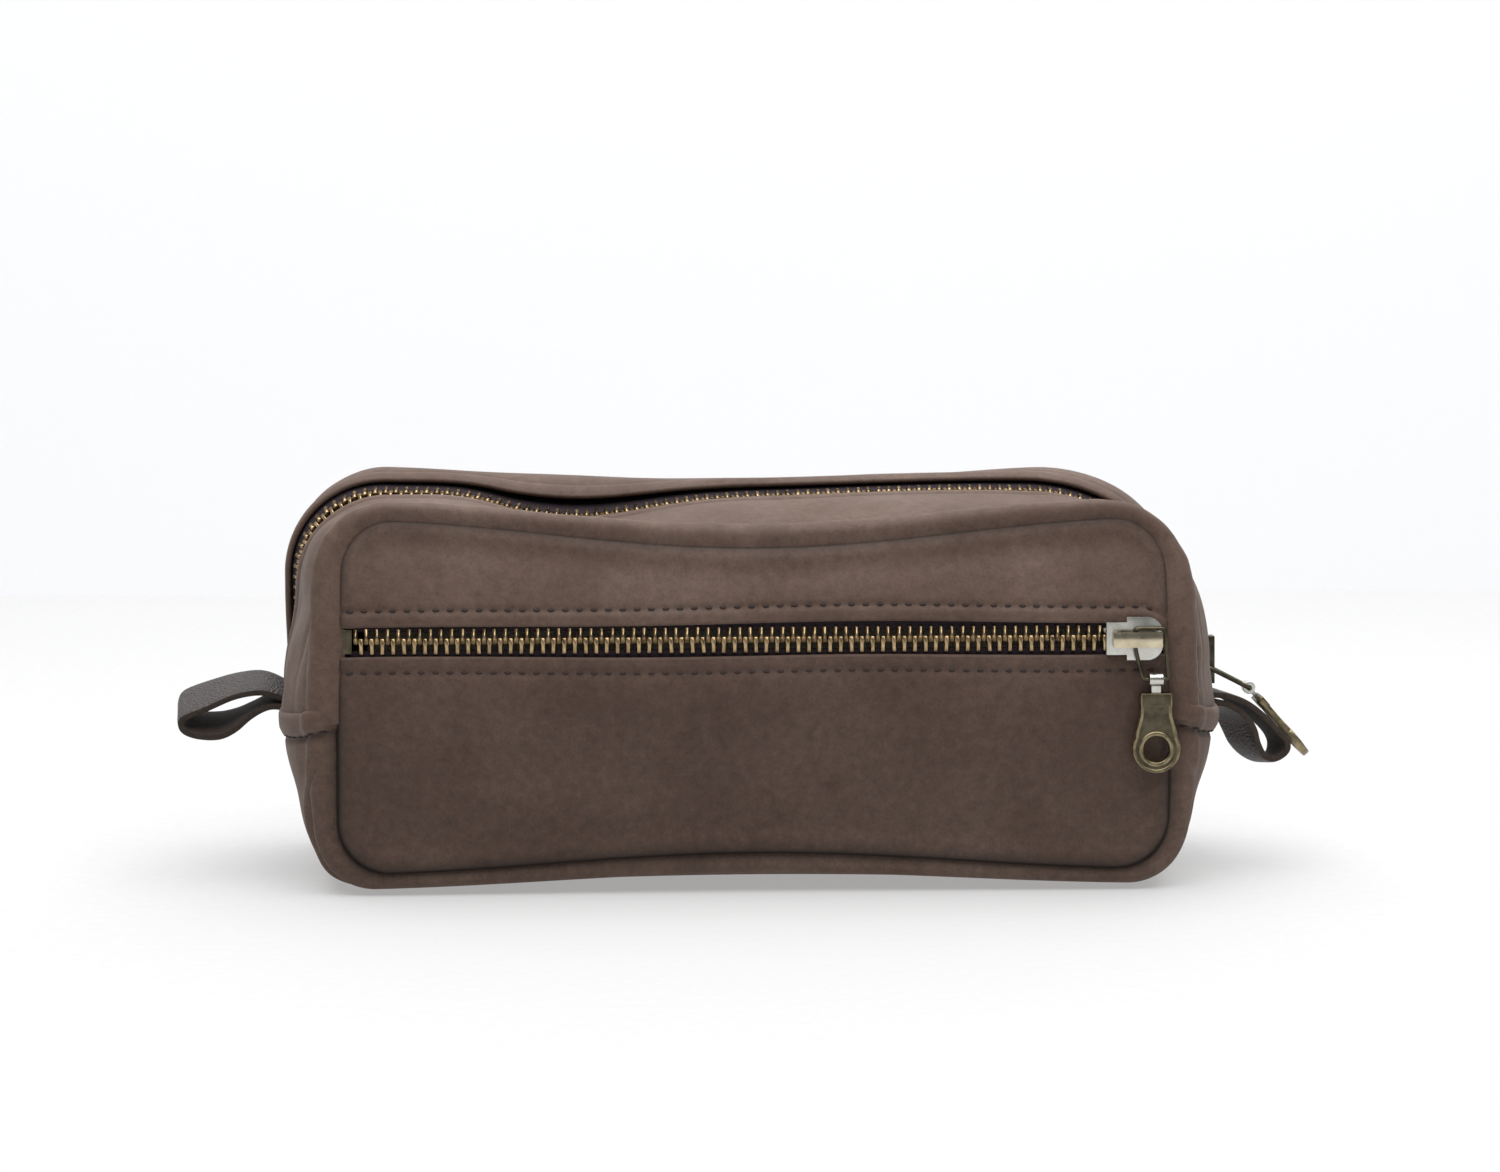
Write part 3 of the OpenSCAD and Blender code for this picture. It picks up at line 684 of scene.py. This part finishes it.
def bottom_gusset():
    places = path_places(30, 44, 90)
    w, y = strip_columns(2)
    cols = np.concatenate([-y, y[::-1]])
    w = np.concatenate([w, w[::-1]])
    s = np.repeat(places[:, None], len(cols), 1)
    y = np.repeat(cols[None, :], len(places), 0)
    outer = low_skin(s, y, np.repeat(w[None, :], len(places), 0))
    n = grid_normals(outer)
    if n[len(places) // 2, len(cols) // 2, 2] > 0:
        n = -n
    from_rim = run_in(outer, 0)
    near_end = np.sqrt(1 - np.clip(from_rim / 5.0, 0, 1) ** 3)
    # painted shade along both seams, and painted shade in the groove below the folded end at each cross seam
    shade = seam_shade(outer, run_in(outer, 1))
    shade = np.maximum(shade, 0.5 * gauss(from_rim - 5.2, 0.7))
    outer = outer + n * (1.35 * near_end - 0.5 * gauss(from_rim - 5.6, 0.9))[..., None]
    inner = outer - n * (LEATHER_T + 1.2 * near_end)[..., None]
    rows, cols_n = outer.shape[:2]
    along = unit(np.gradient(outer, axis=0))
    rim = []
    for end, sign in ((0, -1), (rows - 1, 1)):
        centre = (outer[end] + inner[end]) / 2
        half_t = np.linalg.norm(outer[end] - inner[end], axis=-1, keepdims=True) / 2
        arcs = [centre + half_t * (n[end] * math.cos(a) + sign * along[end] * math.sin(a))
                for a in np.linspace(0, math.pi, 7)[1:-1]]
        rim.append(np.stack(arcs))
    loops = np.concatenate([outer, rim[1], inner[::-1], rim[0][::-1]], axis=0)
    total = loops.shape[0]
    # the painted seam shade is on the outside only
    seam = np.zeros((total, loops.shape[1]))
    seam[:rows] = shade
    faces = []
    for i in range(total):
        for j in range(cols_n - 1):
            k = (i + 1) % total
            faces.append((i * cols_n + j, i * cols_n + j + 1, k * cols_n + j + 1, k * cols_n + j))
    for i in range(rows - 1):
        for j in (0, cols_n - 1):
            a, b = i * cols_n + j, (i + 1) * cols_n + j
            c, d = (total - 6 - i) * cols_n + j, (total - 7 - i) * cols_n + j
            faces.append((a, b, d, c) if j == 0 else (a, c, d, b))
    obj = make("bottom_gusset_leather", loops.reshape(-1, 3), faces, LEATHER, seam=seam)
    obj.data.validate()
    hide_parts("bottom_gusset")
    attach(obj, "bag")
    return outer, n


# ---------------------------------------------------------------- zips


def frames_along(path, normals, places):
    """Centre, direction, side and outward vectors at distances along a path."""
    p = resample(path, path, places)
    n = unit(resample(path, normals, places))
    t = unit(resample(path, path, places + 0.4) - resample(path, path, places - 0.4))
    b = unit(np.cross(n, t))
    n = np.cross(t, b)
    return p, t, b, n


TOOTH = np.array([(-0.5, -3.0), (-0.47, -0.85), (-0.62, -0.6), (-0.62, 0.4), (-0.4, 0.75), (0.4, 0.75),
                  (0.62, 0.4), (0.62, -0.6), (0.47, -0.85), (0.5, -3.0), (0.3, -3.2), (-0.3, -3.2)])


def teeth(path, normals, places, sign):
    """A row of cast teeth reaching across the zip's centre line from one side."""
    p, t, b, n = frames_along(path, normals, places)
    half, soft = 1.05, 0.26
    layers = [(-half, 0.72), (-half + soft, 1.0), (half - soft, 1.0), (half, 0.72)]
    points, faces = [], []
    count = len(TOOTH)
    centre = TOOTH.mean(0)
    for i in range(len(places)):
        base = len(points)
        lean = rng.normal(0, 0.03)
        for w, shrink in layers:
            shape = centre + (TOOTH - centre) * [shrink, 0.93 if shrink < 1 else 1]
            for u, v in shape:
                points.append(p[i] + t[i] * (u + lean * v) + b[i] * (v * sign) + n[i] * w)
        for k in range(3):
            for j in range(count):
                a, c = base + k * count + j, base + k * count + (j + 1) % count
                faces.append((a, c, c + count, a + count) if sign > 0 else (a, a + count, c + count, c))
        low = [base + j for j in range(count)]
        high = [base + 3 * count + j for j in range(count)]
        faces.append(tuple(low[::-1]) if sign > 0 else tuple(low))
        faces.append(tuple(high) if sign > 0 else tuple(high[::-1]))
    return points, faces


def tape(path, normals, v_far, sign):
    """A woven tape with a cord along its toothed edge, out to v_far from the zip's line."""
    places = np.arange(0, lengths(path)[-1], 2.0)
    p, t, b, n = frames_along(path, normals, places)
    vs = np.linspace(TAPE_START, v_far, 7)
    top = [p + b * v * sign + n * TAPE_T / 2 for v in vs]
    low = [p + b * v * sign - n * TAPE_T / 2 for v in vs[::-1]]
    edge = p + b * (TAPE_START - 0.35) * sign
    loops = np.stack([edge] + top + low, 1)
    if sign < 0:
        loops = loops[:, ::-1]
    return flat(loops)


def main_zip():
    places = path_places(60, 100, 260)
    outer = top_skin(places, zip_shift(top_skin(places, 0 * places)[:, 0]))
    side_a = top_skin(places, outer[:, 1] + 4.5)
    side_b = top_skin(places, outer[:, 1] - 4.5)
    along = np.gradient(outer, axis=0)
    n = unit(np.cross(along, side_a - side_b))
    if n[len(places) // 2, 2] < 0:
        n = -n
    path = outer - n * ZIP_DEPTH
    middle = lengths(path)[-1] / 2
    stop_z = box_mm("main_bottom_stop")[1][2]
    slider_z = box_mm("main_slider_body")[0][2] + 5.5
    start = np.interp(stop_z + 1.0, path[:len(path) // 2, 2][:40], lengths(path)[:40])
    right = path[len(path) // 2:]
    end = middle + np.interp(-slider_z, -right[-60:, 2], lengths(right)[-60:])
    k = np.arange(math.ceil((start - middle) / PITCH), math.floor((end - middle) / PITCH))
    for sign, name, body in ((-1, "front", "mouth_front"), (1, "back", "mouth_back")):
        shift = 0 if sign < 0 else PITCH / 2
        spots = middle + k * PITCH + shift
        made = {"teeth": halves(f"{name}_main_teeth", *teeth(path, n, spots, sign), BRASS),
                "tape": halves(f"{name}_main_tape", *tape(path, n, 11.0, sign), TAPE)}
        for label, pair in made.items():
            for obj in pair:
                bend_mouth(obj)
            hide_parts(f"main_{label}_{name}", f"main_{label}_{name}_ends")


def pocket_zip():
    x = np.linspace(-PANEL_X + 1.2, PANEL_X - 1.2, 240)
    path = np.stack([x, np.full_like(x, TEETH_Y), np.full_like(x, POCKET_Z)], -1)
    n = np.tile([0.0, -1.0, 0.0], (len(x), 1))
    left = box_mm("pocket_bottom_stop")[1][0] + 0.9
    right = box_mm("pocket_slider_body")[0][0] + 8.0
    spots = np.arange(left, right, PITCH) - x[0]
    for sign in (1, -1):
        shift = PITCH / 2 if sign > 0 else 0
        parts = {"teeth": (*teeth(path, n, spots + shift, sign), BRASS),
                 "tape": (*tape(path + [0, POCKET_TAPE_BACK, 0], n, 8.5, sign), TAPE)}
        for label, part in parts.items():
            if sign > 0:
                obj = make(f"pocket_upper_{label}", *part)
                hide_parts(f"pocket_{label}_upper")
                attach(obj, "bag")
                continue
            made = halves(f"pocket_lower_{label}", *part)
            for obj in made:
                bend_pocket(obj)
            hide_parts(f"pocket_{label}_lower", f"pocket_{label}_lower_ends")


# ---------------------------------------------------------------- stitches


def stitches(path, normals, sink=0.12):
    """Thread stitches lying along a line on the leather, sink mm into it."""
    places = np.arange(STITCH_PITCH / 2, lengths(path)[-1] - STITCH_PITCH / 3, STITCH_PITCH)
    p, t, b, n = frames_along(path, normals, places)
    ring, rows = 8, 7
    points, faces = [], []
    for i in range(len(places)):
        base = len(points)
        skew = rng.normal(0, 0.05)
        direction = unit(t[i] + b[i] * skew)
        for r in range(rows):
            a = math.pi * r / (rows - 1)
            along = -math.cos(a) * STITCH_LENGTH / 2
            radius = STITCH_WIDTH / 2 * (0.35 + 0.65 * math.sin(a) ** 0.5)
            dip = -sink - 0.45 * (abs(math.cos(a)) ** 3)
            for k in range(ring):
                c = 2 * math.pi * k / ring
                points.append(p[i] + direction * along + b[i] * radius * math.cos(c)
                              + n[i] * (radius * math.sin(c) + dip + 0.12))
        for r in range(rows - 1):
            for k in range(ring):
                q = (k + 1) % ring
                faces.append((base + r * ring + k, base + r * ring + q, base + (r + 1) * ring + q,
                              base + (r + 1) * ring + k))
        faces.append(tuple(base + k for k in range(ring))[::-1])
        faces.append(tuple(base + (rows - 1) * ring + k for k in range(ring)))
    return points, faces


def pocket_stitches():
    """One row of stitches above and below the pocket zip."""
    for sign, name in ((1, "upper"), (-1, "lower")):
        x = np.linspace(-PANEL_X + 1.8, PANEL_X - 1.8, 400)
        z = lip_height(x, sign) + sign * STITCH_IN
        y = panel_y(x, z, 11 if sign > 0 else 12) - STITCH_DENT
        path = np.stack([x, -y, z], -1)
        n = np.tile([0.0, -1.0, 0.0], (len(x), 1))
        points, faces = stitches(path, n)
        if sign > 0:
            obj = make(f"pocket_{name}_stitches", points, faces, THREAD)
            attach(obj, "bag")
        else:
            for obj in halves(f"pocket_{name}_stitches", points, faces, THREAD):
                bend_pocket(obj)


def strip_stitches():
    """A row of stitches along each side of the main zip."""
    places = path_places(60, 100, 260)[30:-30]
    for side, name, body in ((-1, "front", "mouth_front"), (1, "back", "mouth_back")):
        centre = zip_shift(top_skin(places, 0 * places)[:, 0])
        y = centre + side * (MAIN_LIP + 2.6)
        path = top_skin(places, y)
        n = unit(np.cross(np.gradient(path, axis=0), top_skin(places, y + 0.5) - top_skin(places, y - 0.5)))
        if n[len(n) // 2, 2] < 0:
            n = -n
        for obj in halves(f"{name}_strip_stitches", *stitches(path, n, sink=0.2), THREAD):
            bend_mouth(obj)


def cross_stitches(outer, normals):
    """Stitches under the folded top edge of the gusset at both ends."""
    below_rim = 5.3
    for name, rows in (("left", slice(None, 50)), ("right", slice(None, -50, -1))):
        path, n = [], []
        for column, column_n in zip(np.swapaxes(outer[rows], 0, 1), np.swapaxes(normals[rows], 0, 1)):
            path.append(resample(column, column, [below_rim])[0])
            n.append(resample(column, column_n, [below_rim])[0])
        path, n = np.array(path), unit(np.array(n))
        for half, y_name in ((path[:, 1] < -3, "front"), (path[:, 1] > 3, "back")):
            line, line_n = path[half][2:-2], n[half][2:-2]
            obj = make(f"{name}_{y_name}_cross_stitches", *stitches(line, line_n, sink=-0.15), THREAD)
            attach(obj, "bag")


# ---------------------------------------------------------------- metal parts


def metal(node, body, material, bevel=0.22, edge=None):
    """The CAD piece with its edges rounded, and worn bright if edge is given."""
    source = frame["nodes"][node]
    mesh = source.data.copy()
    mesh.materials.clear()
    mesh.materials.append(material)
    obj = bpy.data.objects.new(node + "_metal", mesh)
    bpy.context.scene.collection.objects.link(obj)
    weld = obj.modifiers.new("weld", "WELD")
    weld.merge_threshold = 0.00001
    rounded = obj.modifiers.new("bevel", "BEVEL")
    rounded.width = bevel * MM
    rounded.segments = 3
    rounded.limit_method = "ANGLE"
    rounded.angle_limit = math.radians(40)
    rounded.harden_normals = False
    if edge is not None:
        mesh.materials.append(edge)
        rounded.material = 1
    mesh.shade_smooth()
    mesh.set_sharp_from_angle(angle=math.radians(40))
    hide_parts(node)
    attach(obj, body)


def ring_wire(body, corners, bend, radius):
    """A closed wire through the corners, each rounded with a bend radius."""
    corners = [np.array(c, float) for c in corners]
    line = []
    for i, corner in enumerate(corners):
        before, after = corners[i - 1], corners[(i + 1) % len(corners)]
        a = corner + unit(before - corner) * bend
        b = corner + unit(after - corner) * bend
        for t in np.linspace(0, 1, 9):
            line.append((1 - t) ** 2 * a + 2 * t * (1 - t) * corner + t ** 2 * b)
    line = np.array(line)
    t = unit(np.roll(line, -1, 0) - np.roll(line, 1, 0))
    flat_n = unit(np.cross(corners[1] - corners[0], corners[2] - corners[1]))
    b = unit(np.cross(flat_n, t))
    angles = np.linspace(0, 2 * math.pi, 13)[:-1]
    loops = np.stack([line + radius * (b * math.cos(a) + flat_n * math.sin(a)) for a in angles], 1)
    obj = make(body + "_wire", loops.reshape(-1, 3), ring_faces(*loops.shape[:2]), DARK_BRASS)
    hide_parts(body)
    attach(obj, body)


def lathe(profile, place, axis, count=56):
    """Points and faces of a ring turned about an axis at a place; the profile is (radius, height) pairs."""
    axis = unit(np.array(axis, float))
    side = unit(np.cross(axis, [0, 1, 0] if abs(axis[1]) < 0.9 else [1, 0, 0]))
    other = np.cross(axis, side)
    points = []
    for i in range(count):
        a = 2 * math.pi * i / count
        for r, h in profile:
            points.append(place + (side * math.cos(a) + other * math.sin(a)) * r + axis * h)
    return points, ring_faces(count, len(profile))


def tab_rim(name, body, mount):
    """The raised rim round a pull tab's hole."""
    half = [(3.25, 0.85), (3.4, 1.05), (4.0, 1.1), (4.35, 0.9), (4.4, 0.5)]
    profile = [(r, -h) for r, h in half] + half[::-1]
    obj = make(name, *lathe(profile, place_mm(MOUNTS[mount]), MOUNTS[mount]["axis"]), RIM_BRASS)
    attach(obj, body)


def tab_border(name, body, mount, joint):
    """The raised rim along a pull tab's outline, from the tab's eye and the hole at its round end."""
    hole = place_mm(MOUNTS[mount])
    eye = place_mm(JOINTS[joint])
    n = unit(np.array(MOUNTS[mount]["axis"], float))
    along = unit(hole - eye)
    across = np.cross(n, along)
    reach = np.linalg.norm(hole - eye)
    round_end = 5.65
    outline = [(3.7, 0.0), (3.7, 2.4), (3.75, 3.3), (4.1, 3.65), (5.0, 3.7), (8.4, 3.7), (10.5, 4.15),
               (12.6, 4.75)]
    outline += [(reach + round_end * math.cos(a), round_end * math.sin(a))
                for a in np.linspace(math.radians(118), 0, 26)]
    outline += [(a, -b) for a, b in outline[-2:0:-1]]
    line = smooth_line(outline + outline[:1], 240)[:-1]
    t = unit(np.roll(line, -1, 0) - np.roll(line, 1, 0))
    out = np.stack([-t[:, 1], t[:, 0]], 1)
    half = [(0.28, 0.62), (0.12, 0.88), (-0.35, 0.92), (-0.62, 0.70)]
    profile = half + [(o, -h) for o, h in half[::-1]]
    rows = []
    for o, h in profile:
        ab = line + out * o
        rows.append(eye + ab[:, :1] * along + ab[:, 1:] * across + n * h)
    loops = np.stack(rows, 1)
    obj = make(name, loops.reshape(-1, 3), ring_faces(*loops.shape[:2]), RIM_BRASS, sharp=50)
    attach(obj, body)


def bails():
    """The two wire bails, from the joints they turn on."""
    near, far = place_mm(JOINTS["main_bail_swing"]), place_mm(JOINTS["main_puller_swing"])
    ring_wire("main_bail", [near + [0, -3.9, 0], near + [0, 3.9, 0], far + [0, 2.7, 0], far + [0, -2.7, 0]],
              1.3, 0.55)
    low, high = box_mm("pocket_bail")
    bar, y = place_mm(JOINTS["pocket_bail_swing"])[0], (low[1] + high[1]) / 2
    top, foot = high[2] - 0.5, low[2] + 0.5
    ring_wire("pocket_bail",
              [(bar, y, top), (high[0] - 1.2, y, top), (high[0] - 0.5, y, foot), (bar + 1.8, y, foot),
               (bar, y, 2 * POCKET_Z - top)], 1.1, 0.5)


def hardware():
    metal("main_slider_body", "main_slider", NICKEL, 0.3)
    metal("pocket_slider_body", "pocket_slider", NICKEL, 0.3)
    metal("main_slider_cap", "main_slider", DARK_BRASS, 0.3)
    metal("pocket_slider_cap", "pocket_slider", CAP_METAL, 0.5, BRASS)
    bails()
    tab_rim("main_tab_rim", "main_puller", "main_tab_hole")
    tab_rim("pocket_tab_rim", "pocket_puller", "pocket_tab_hole")
    tab_border("main_tab_border", "main_puller", "main_tab_hole", "main_puller_swing")
    tab_border("pocket_tab_border", "pocket_puller", "pocket_tab_hole", "pocket_puller_swing")
    metal("main_connector", "main_puller", NICKEL, 0.15)
    metal("pocket_connector", "pocket_puller", NICKEL, 0.15)
    metal("main_pull_tab", "main_puller", DARK_BRASS, 0.3, RIM_BRASS)
    metal("pocket_pull_tab", "pocket_puller", DARK_BRASS, 0.3, RIM_BRASS)
    metal("main_bottom_stop", "bag", BRASS, 0.2)
    metal("main_top_stops", "bag", BRASS, 0.15)
    metal("pocket_bottom_stop", "bag", DARK_BRASS, 0.2)
    metal("pocket_top_stops", "bag", BRASS, 0.08)


# ---------------------------------------------------------------- loops


# (x, z) along each edge of each strap, from its upper root round the tip to its lower root
LEFT_FRONT = [(-115.5, 43.2), (-119.6, 44.6), (-124, 45.5), (-130.3, 44.4), (-137.2, 41.5), (-142.8, 39.2),
              (-143.6, 37.4), (-142.4, 35.6), (-138.8, 34.5), (-134, 34.5), (-130.2, 36.2), (-126.5, 39.3),
              (-122.9, 41.4), (-119.8, 42.0), (-115.5, 41.2)]
LEFT_BACK = [(-115.5, 43.8), (-119.6, 46.6), (-124.6, 48.5), (-130.8, 48.0), (-138, 46.0), (-143.6, 43.9),
             (-145.2, 42.0), (-144.6, 39.6), (-141, 38.2), (-135.5, 38.0), (-131, 38.9), (-127, 40.6),
             (-123.2, 42.4), (-119.8, 43.0), (-115.5, 41.8)]
RIGHT_FRONT = [(115.5, 43.0), (120, 43.4), (124, 42.6), (127.8, 41.0), (131.8, 37.9), (135.8, 33.7),
               (137.7, 31.4), (137.7, 29.2), (136.1, 27.6), (134.1, 27.0), (131.8, 28.0), (130.3, 30.8),
               (129.2, 34.8), (126.9, 38.1), (122.4, 40.9), (118.5, 41.4), (115.5, 41.4)]
RIGHT_BACK = [(115.5, 42.8), (119.3, 42.7), (122.6, 41.6), (126.2, 39.4), (129.8, 36.9), (133.4, 33.8),
              (135.6, 31.0), (136.3, 28.4), (135.4, 25.8), (132.4, 24.7), (129.1, 26.1), (126.2, 29.0),
              (124.4, 32.4), (122.8, 35.6), (121, 38.6), (118.2, 40.7), (115.5, 41)]


def smooth_line(points, count):
    """A Catmull-Rom curve through the points."""
    p = np.array(points, float)
    p = np.concatenate([[2 * p[0] - p[1]], p, [2 * p[-1] - p[-2]]])
    out = []
    for t in np.linspace(0, len(points) - 1 - 1e-6, count):
        i, f = int(t), t - int(t)
        a, b, c, d = p[i:i + 4]
        square, cube = 2 * a - 5 * b + 4 * c - d, 3 * b - a - 3 * c + d
        out.append(0.5 * (2 * b + (c - a) * f + square * f ** 2 + cube * f ** 3))
    return np.array(out)


def loop(node, front, back):
    """A strap folded into a loop, with pebbled faces and raw edges; front and back are its two edges."""
    rows, cols, width, thick = 130, 11, 15.5, 1.9
    a, b = smooth_line(front, rows), smooth_line(back, rows)
    v = np.linspace(0, 1, cols)
    xz = a[:, None] + (b - a)[:, None] * v[None, :, None]
    y = np.repeat(((v - 0.5) * width)[None, :], rows, 0)
    middle = np.stack([xz[..., 0], y, xz[..., 1]], -1)
    n = grid_normals(middle)
    t = np.linspace(0, 1, rows)[:, None]
    half = thick / 2 * (1 - 0.22 * (np.abs(2 * v - 1) ** 6)[None, :]) + 0.05 * waves(t * 90, y, 9)
    middle[..., 1] += 0.25 * np.sin(t * 21) * (2 * v - 1)[None, :]
    outer, inner = middle + n * half[..., None], middle - n * half[..., None]
    fuzz = 0.12 * np.sin(t * 310)[..., None] * [0, 1, 0]
    edge_a = middle[:, :1] + [0, -0.2, 0] + fuzz
    edge_b = middle[:, -1:] + [0, 0.2, 0] + fuzz
    loops = np.concatenate([outer, edge_b, inner[:, ::-1], edge_a], 1)
    obj = make(node + "_strap", *flat(loops), STRAP, sharp=50)
    obj.data.materials.append(RAW_EDGE)
    # the flesh side and both edges are raw
    flesh_first = np.dot(n[rows // 4, cols // 2], [0, 0, 1]) < 0
    ring = loops.shape[1]
    edges = (cols - 1, cols, ring - 2, ring - 1)
    for polygon in obj.data.polygons[:(rows - 1) * ring]:
        j = polygon.index % ring
        grain_side = (j < cols - 1) != flesh_first and j not in edges
        polygon.material_index = 0 if grain_side else 1
    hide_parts(node)
    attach(obj, node)


# ---------------------------------------------------------------- lining


def cloth(name, grid, thickness, flip, node, body=None):
    """A cloth sheet; on a lip it is cut at the middle into a right and a left half."""
    points, faces = flat(sheet_solid(grid, thickness, flip))
    if body is None:
        obj = make(name, points, faces, LINING)
        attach(obj, "bag")
        made = [obj]
    else:
        made = halves(name, points, faces, LINING)
        for obj in made:
            bend_mouth(obj)
    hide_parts(node)


def linings():
    x = np.linspace(-95, 95, 96)
    for node, sign, inset, seed in (("pocket_lining", -1, 5.2, 31), ("front_lining", -1, 6.4, 32),
                                    ("back_lining", 1, 2.2, 33)):
        low, high = panel_edge(x)
        z = (low + 3)[:, None] + (high - low - 6)[:, None] * np.linspace(0, 1, 40)[None, :]
        xs = np.repeat(x[:, None], 40, 1)
        y = np.minimum(panel_y(xs, z, 12), SEAM_Y - lean(z)) - inset - 0.5 - 0.4 * waves(xs, z, seed)
        cloth(node + "_cloth", np.stack([xs, sign * y, z], -1), 0.4, sign > 0, node)
    places = path_places(30, 44, 90)
    places = places[np.abs(places) < 2.9]
    y = np.linspace(-SEAM_Y + 4, SEAM_Y - 4, 60)
    grid = low_skin(*np.meshgrid(places, y, indexing="ij"))
    n = grid_normals(grid)
    n = np.where(n[len(places) // 2, 30, 2] > 0, -n, n)
    cloth("gusset_cloth", grid - n * 2.3, 0.4, False, "gusset_lining")
    places = path_places(26, 44, 120)
    mouth = box_mm("front_strip_lining")[1][0]
    for side, name in ((-1, "front"), (1, "back")):
        grid = strip_grid(side, MAIN_LIP + 5, places)[:, 12:]
        grid = grid[np.abs(grid[:, 10, 0]) < mouth]
        n = grid_normals(grid)
        n = np.where(n[len(grid) // 2, 10, 2] < 0, -n, n)
        cloth(f"{name}_strip_cloth", grid - n * 2.6, 0.4, side < 0, f"{name}_strip_lining", f"mouth_{name}")


# ---------------------------------------------------------------- studio


BACKDROP_X = 4000
BACKDROP_FRONT = -2600
BACKDROP_BACK = 620
BACKDROP_TOP = 2500
LENS_MM = 84.336
# the picture's height is shifted by this part of its width, so that a level camera still sees the bag
PICTURE_SHIFT = -0.257333333


def glowing(name, colour, glow, strength):
    """Matt paper that gives off a little light, as an overexposed studio does."""
    material = plain(name, colour, 0.9)
    shader = material.node_tree.nodes["Principled BSDF"]
    shader.inputs["Emission Color"].default_value = glow
    shader.inputs["Emission Strength"].default_value = strength
    return material


def studio():
    white = glowing("studio_floor", (0.35, 0.35, 0.35), (1.0, 0.995, 0.99, 1), 0.36)
    paper = glowing("studio_wall", (0.50, 0.50, 0.51), (0.98, 0.99, 1.0, 1), 0.46)
    side, front, back, top = BACKDROP_X, BACKDROP_FRONT, BACKDROP_BACK, BACKDROP_TOP
    corners = [(-side, front, 0), (side, front, 0), (side, back, 0), (-side, back, 0)]
    floor = make("floor", corners, [(0, 1, 2, 3)], white)
    corners = [(-side, back, 0), (side, back, 0), (side, back, top), (-side, back, top)]
    wall = make("wall", corners, [(0, 1, 2, 3)], paper)
    world = bpy.data.worlds.new("world")
    bpy.context.scene.world = world
    world.use_nodes = True
    background = world.node_tree.nodes["Background"]
    background.inputs["Color"].default_value = (0.93, 0.96, 1.0, 1)
    background.inputs["Strength"].default_value = 0.16
    lights = [("key", (0.05, -0.22, 1.5), (0, 0.02, 0), 2.2, 52.0),
              ("back", (0.2, 0.55, 0.9), (0, 0.05, 0.05), 0.6, 2.0)]
    for name, place, aim, size, power in lights:
        data = bpy.data.lights.new(name, "AREA")
        data.size = size
        data.energy = power
        obj = bpy.data.objects.new(name, data)
        bpy.context.scene.collection.objects.link(obj)
        obj.location = place
        obj.rotation_mode = "QUATERNION"
        obj.rotation_quaternion = (Vector(aim) - Vector(place)).to_track_quat("-Z", "Y")


def camera():
    data = bpy.data.cameras.new("camera")
    obj = bpy.data.objects.new("camera", data)
    bpy.context.scene.collection.objects.link(obj)
    data.sensor_width = 36
    data.lens = LENS_MM
    place = Vector((-0.0405, -0.900, 0.170))
    obj.location = place
    obj.rotation_mode = "QUATERNION"
    obj.rotation_quaternion = Vector((0.0455, 1, 0)).to_track_quat("-Z", "Y")
    data.shift_y = PICTURE_SHIFT
    bpy.context.scene.camera = obj
    bpy.context.scene.view_settings.view_transform = "Standard"
    bpy.context.scene.view_settings.look = "None"


front_panels()
back_panel()
top_strips()
gusset_outer, gusset_normals = bottom_gusset()
main_zip()
pocket_zip()
pocket_stitches()
strip_stitches()
cross_stitches(gusset_outer, gusset_normals)
hardware()
loop("left_loop", LEFT_FRONT, LEFT_BACK)
loop("right_loop", RIGHT_FRONT, RIGHT_BACK)
linings()
studio()
camera()
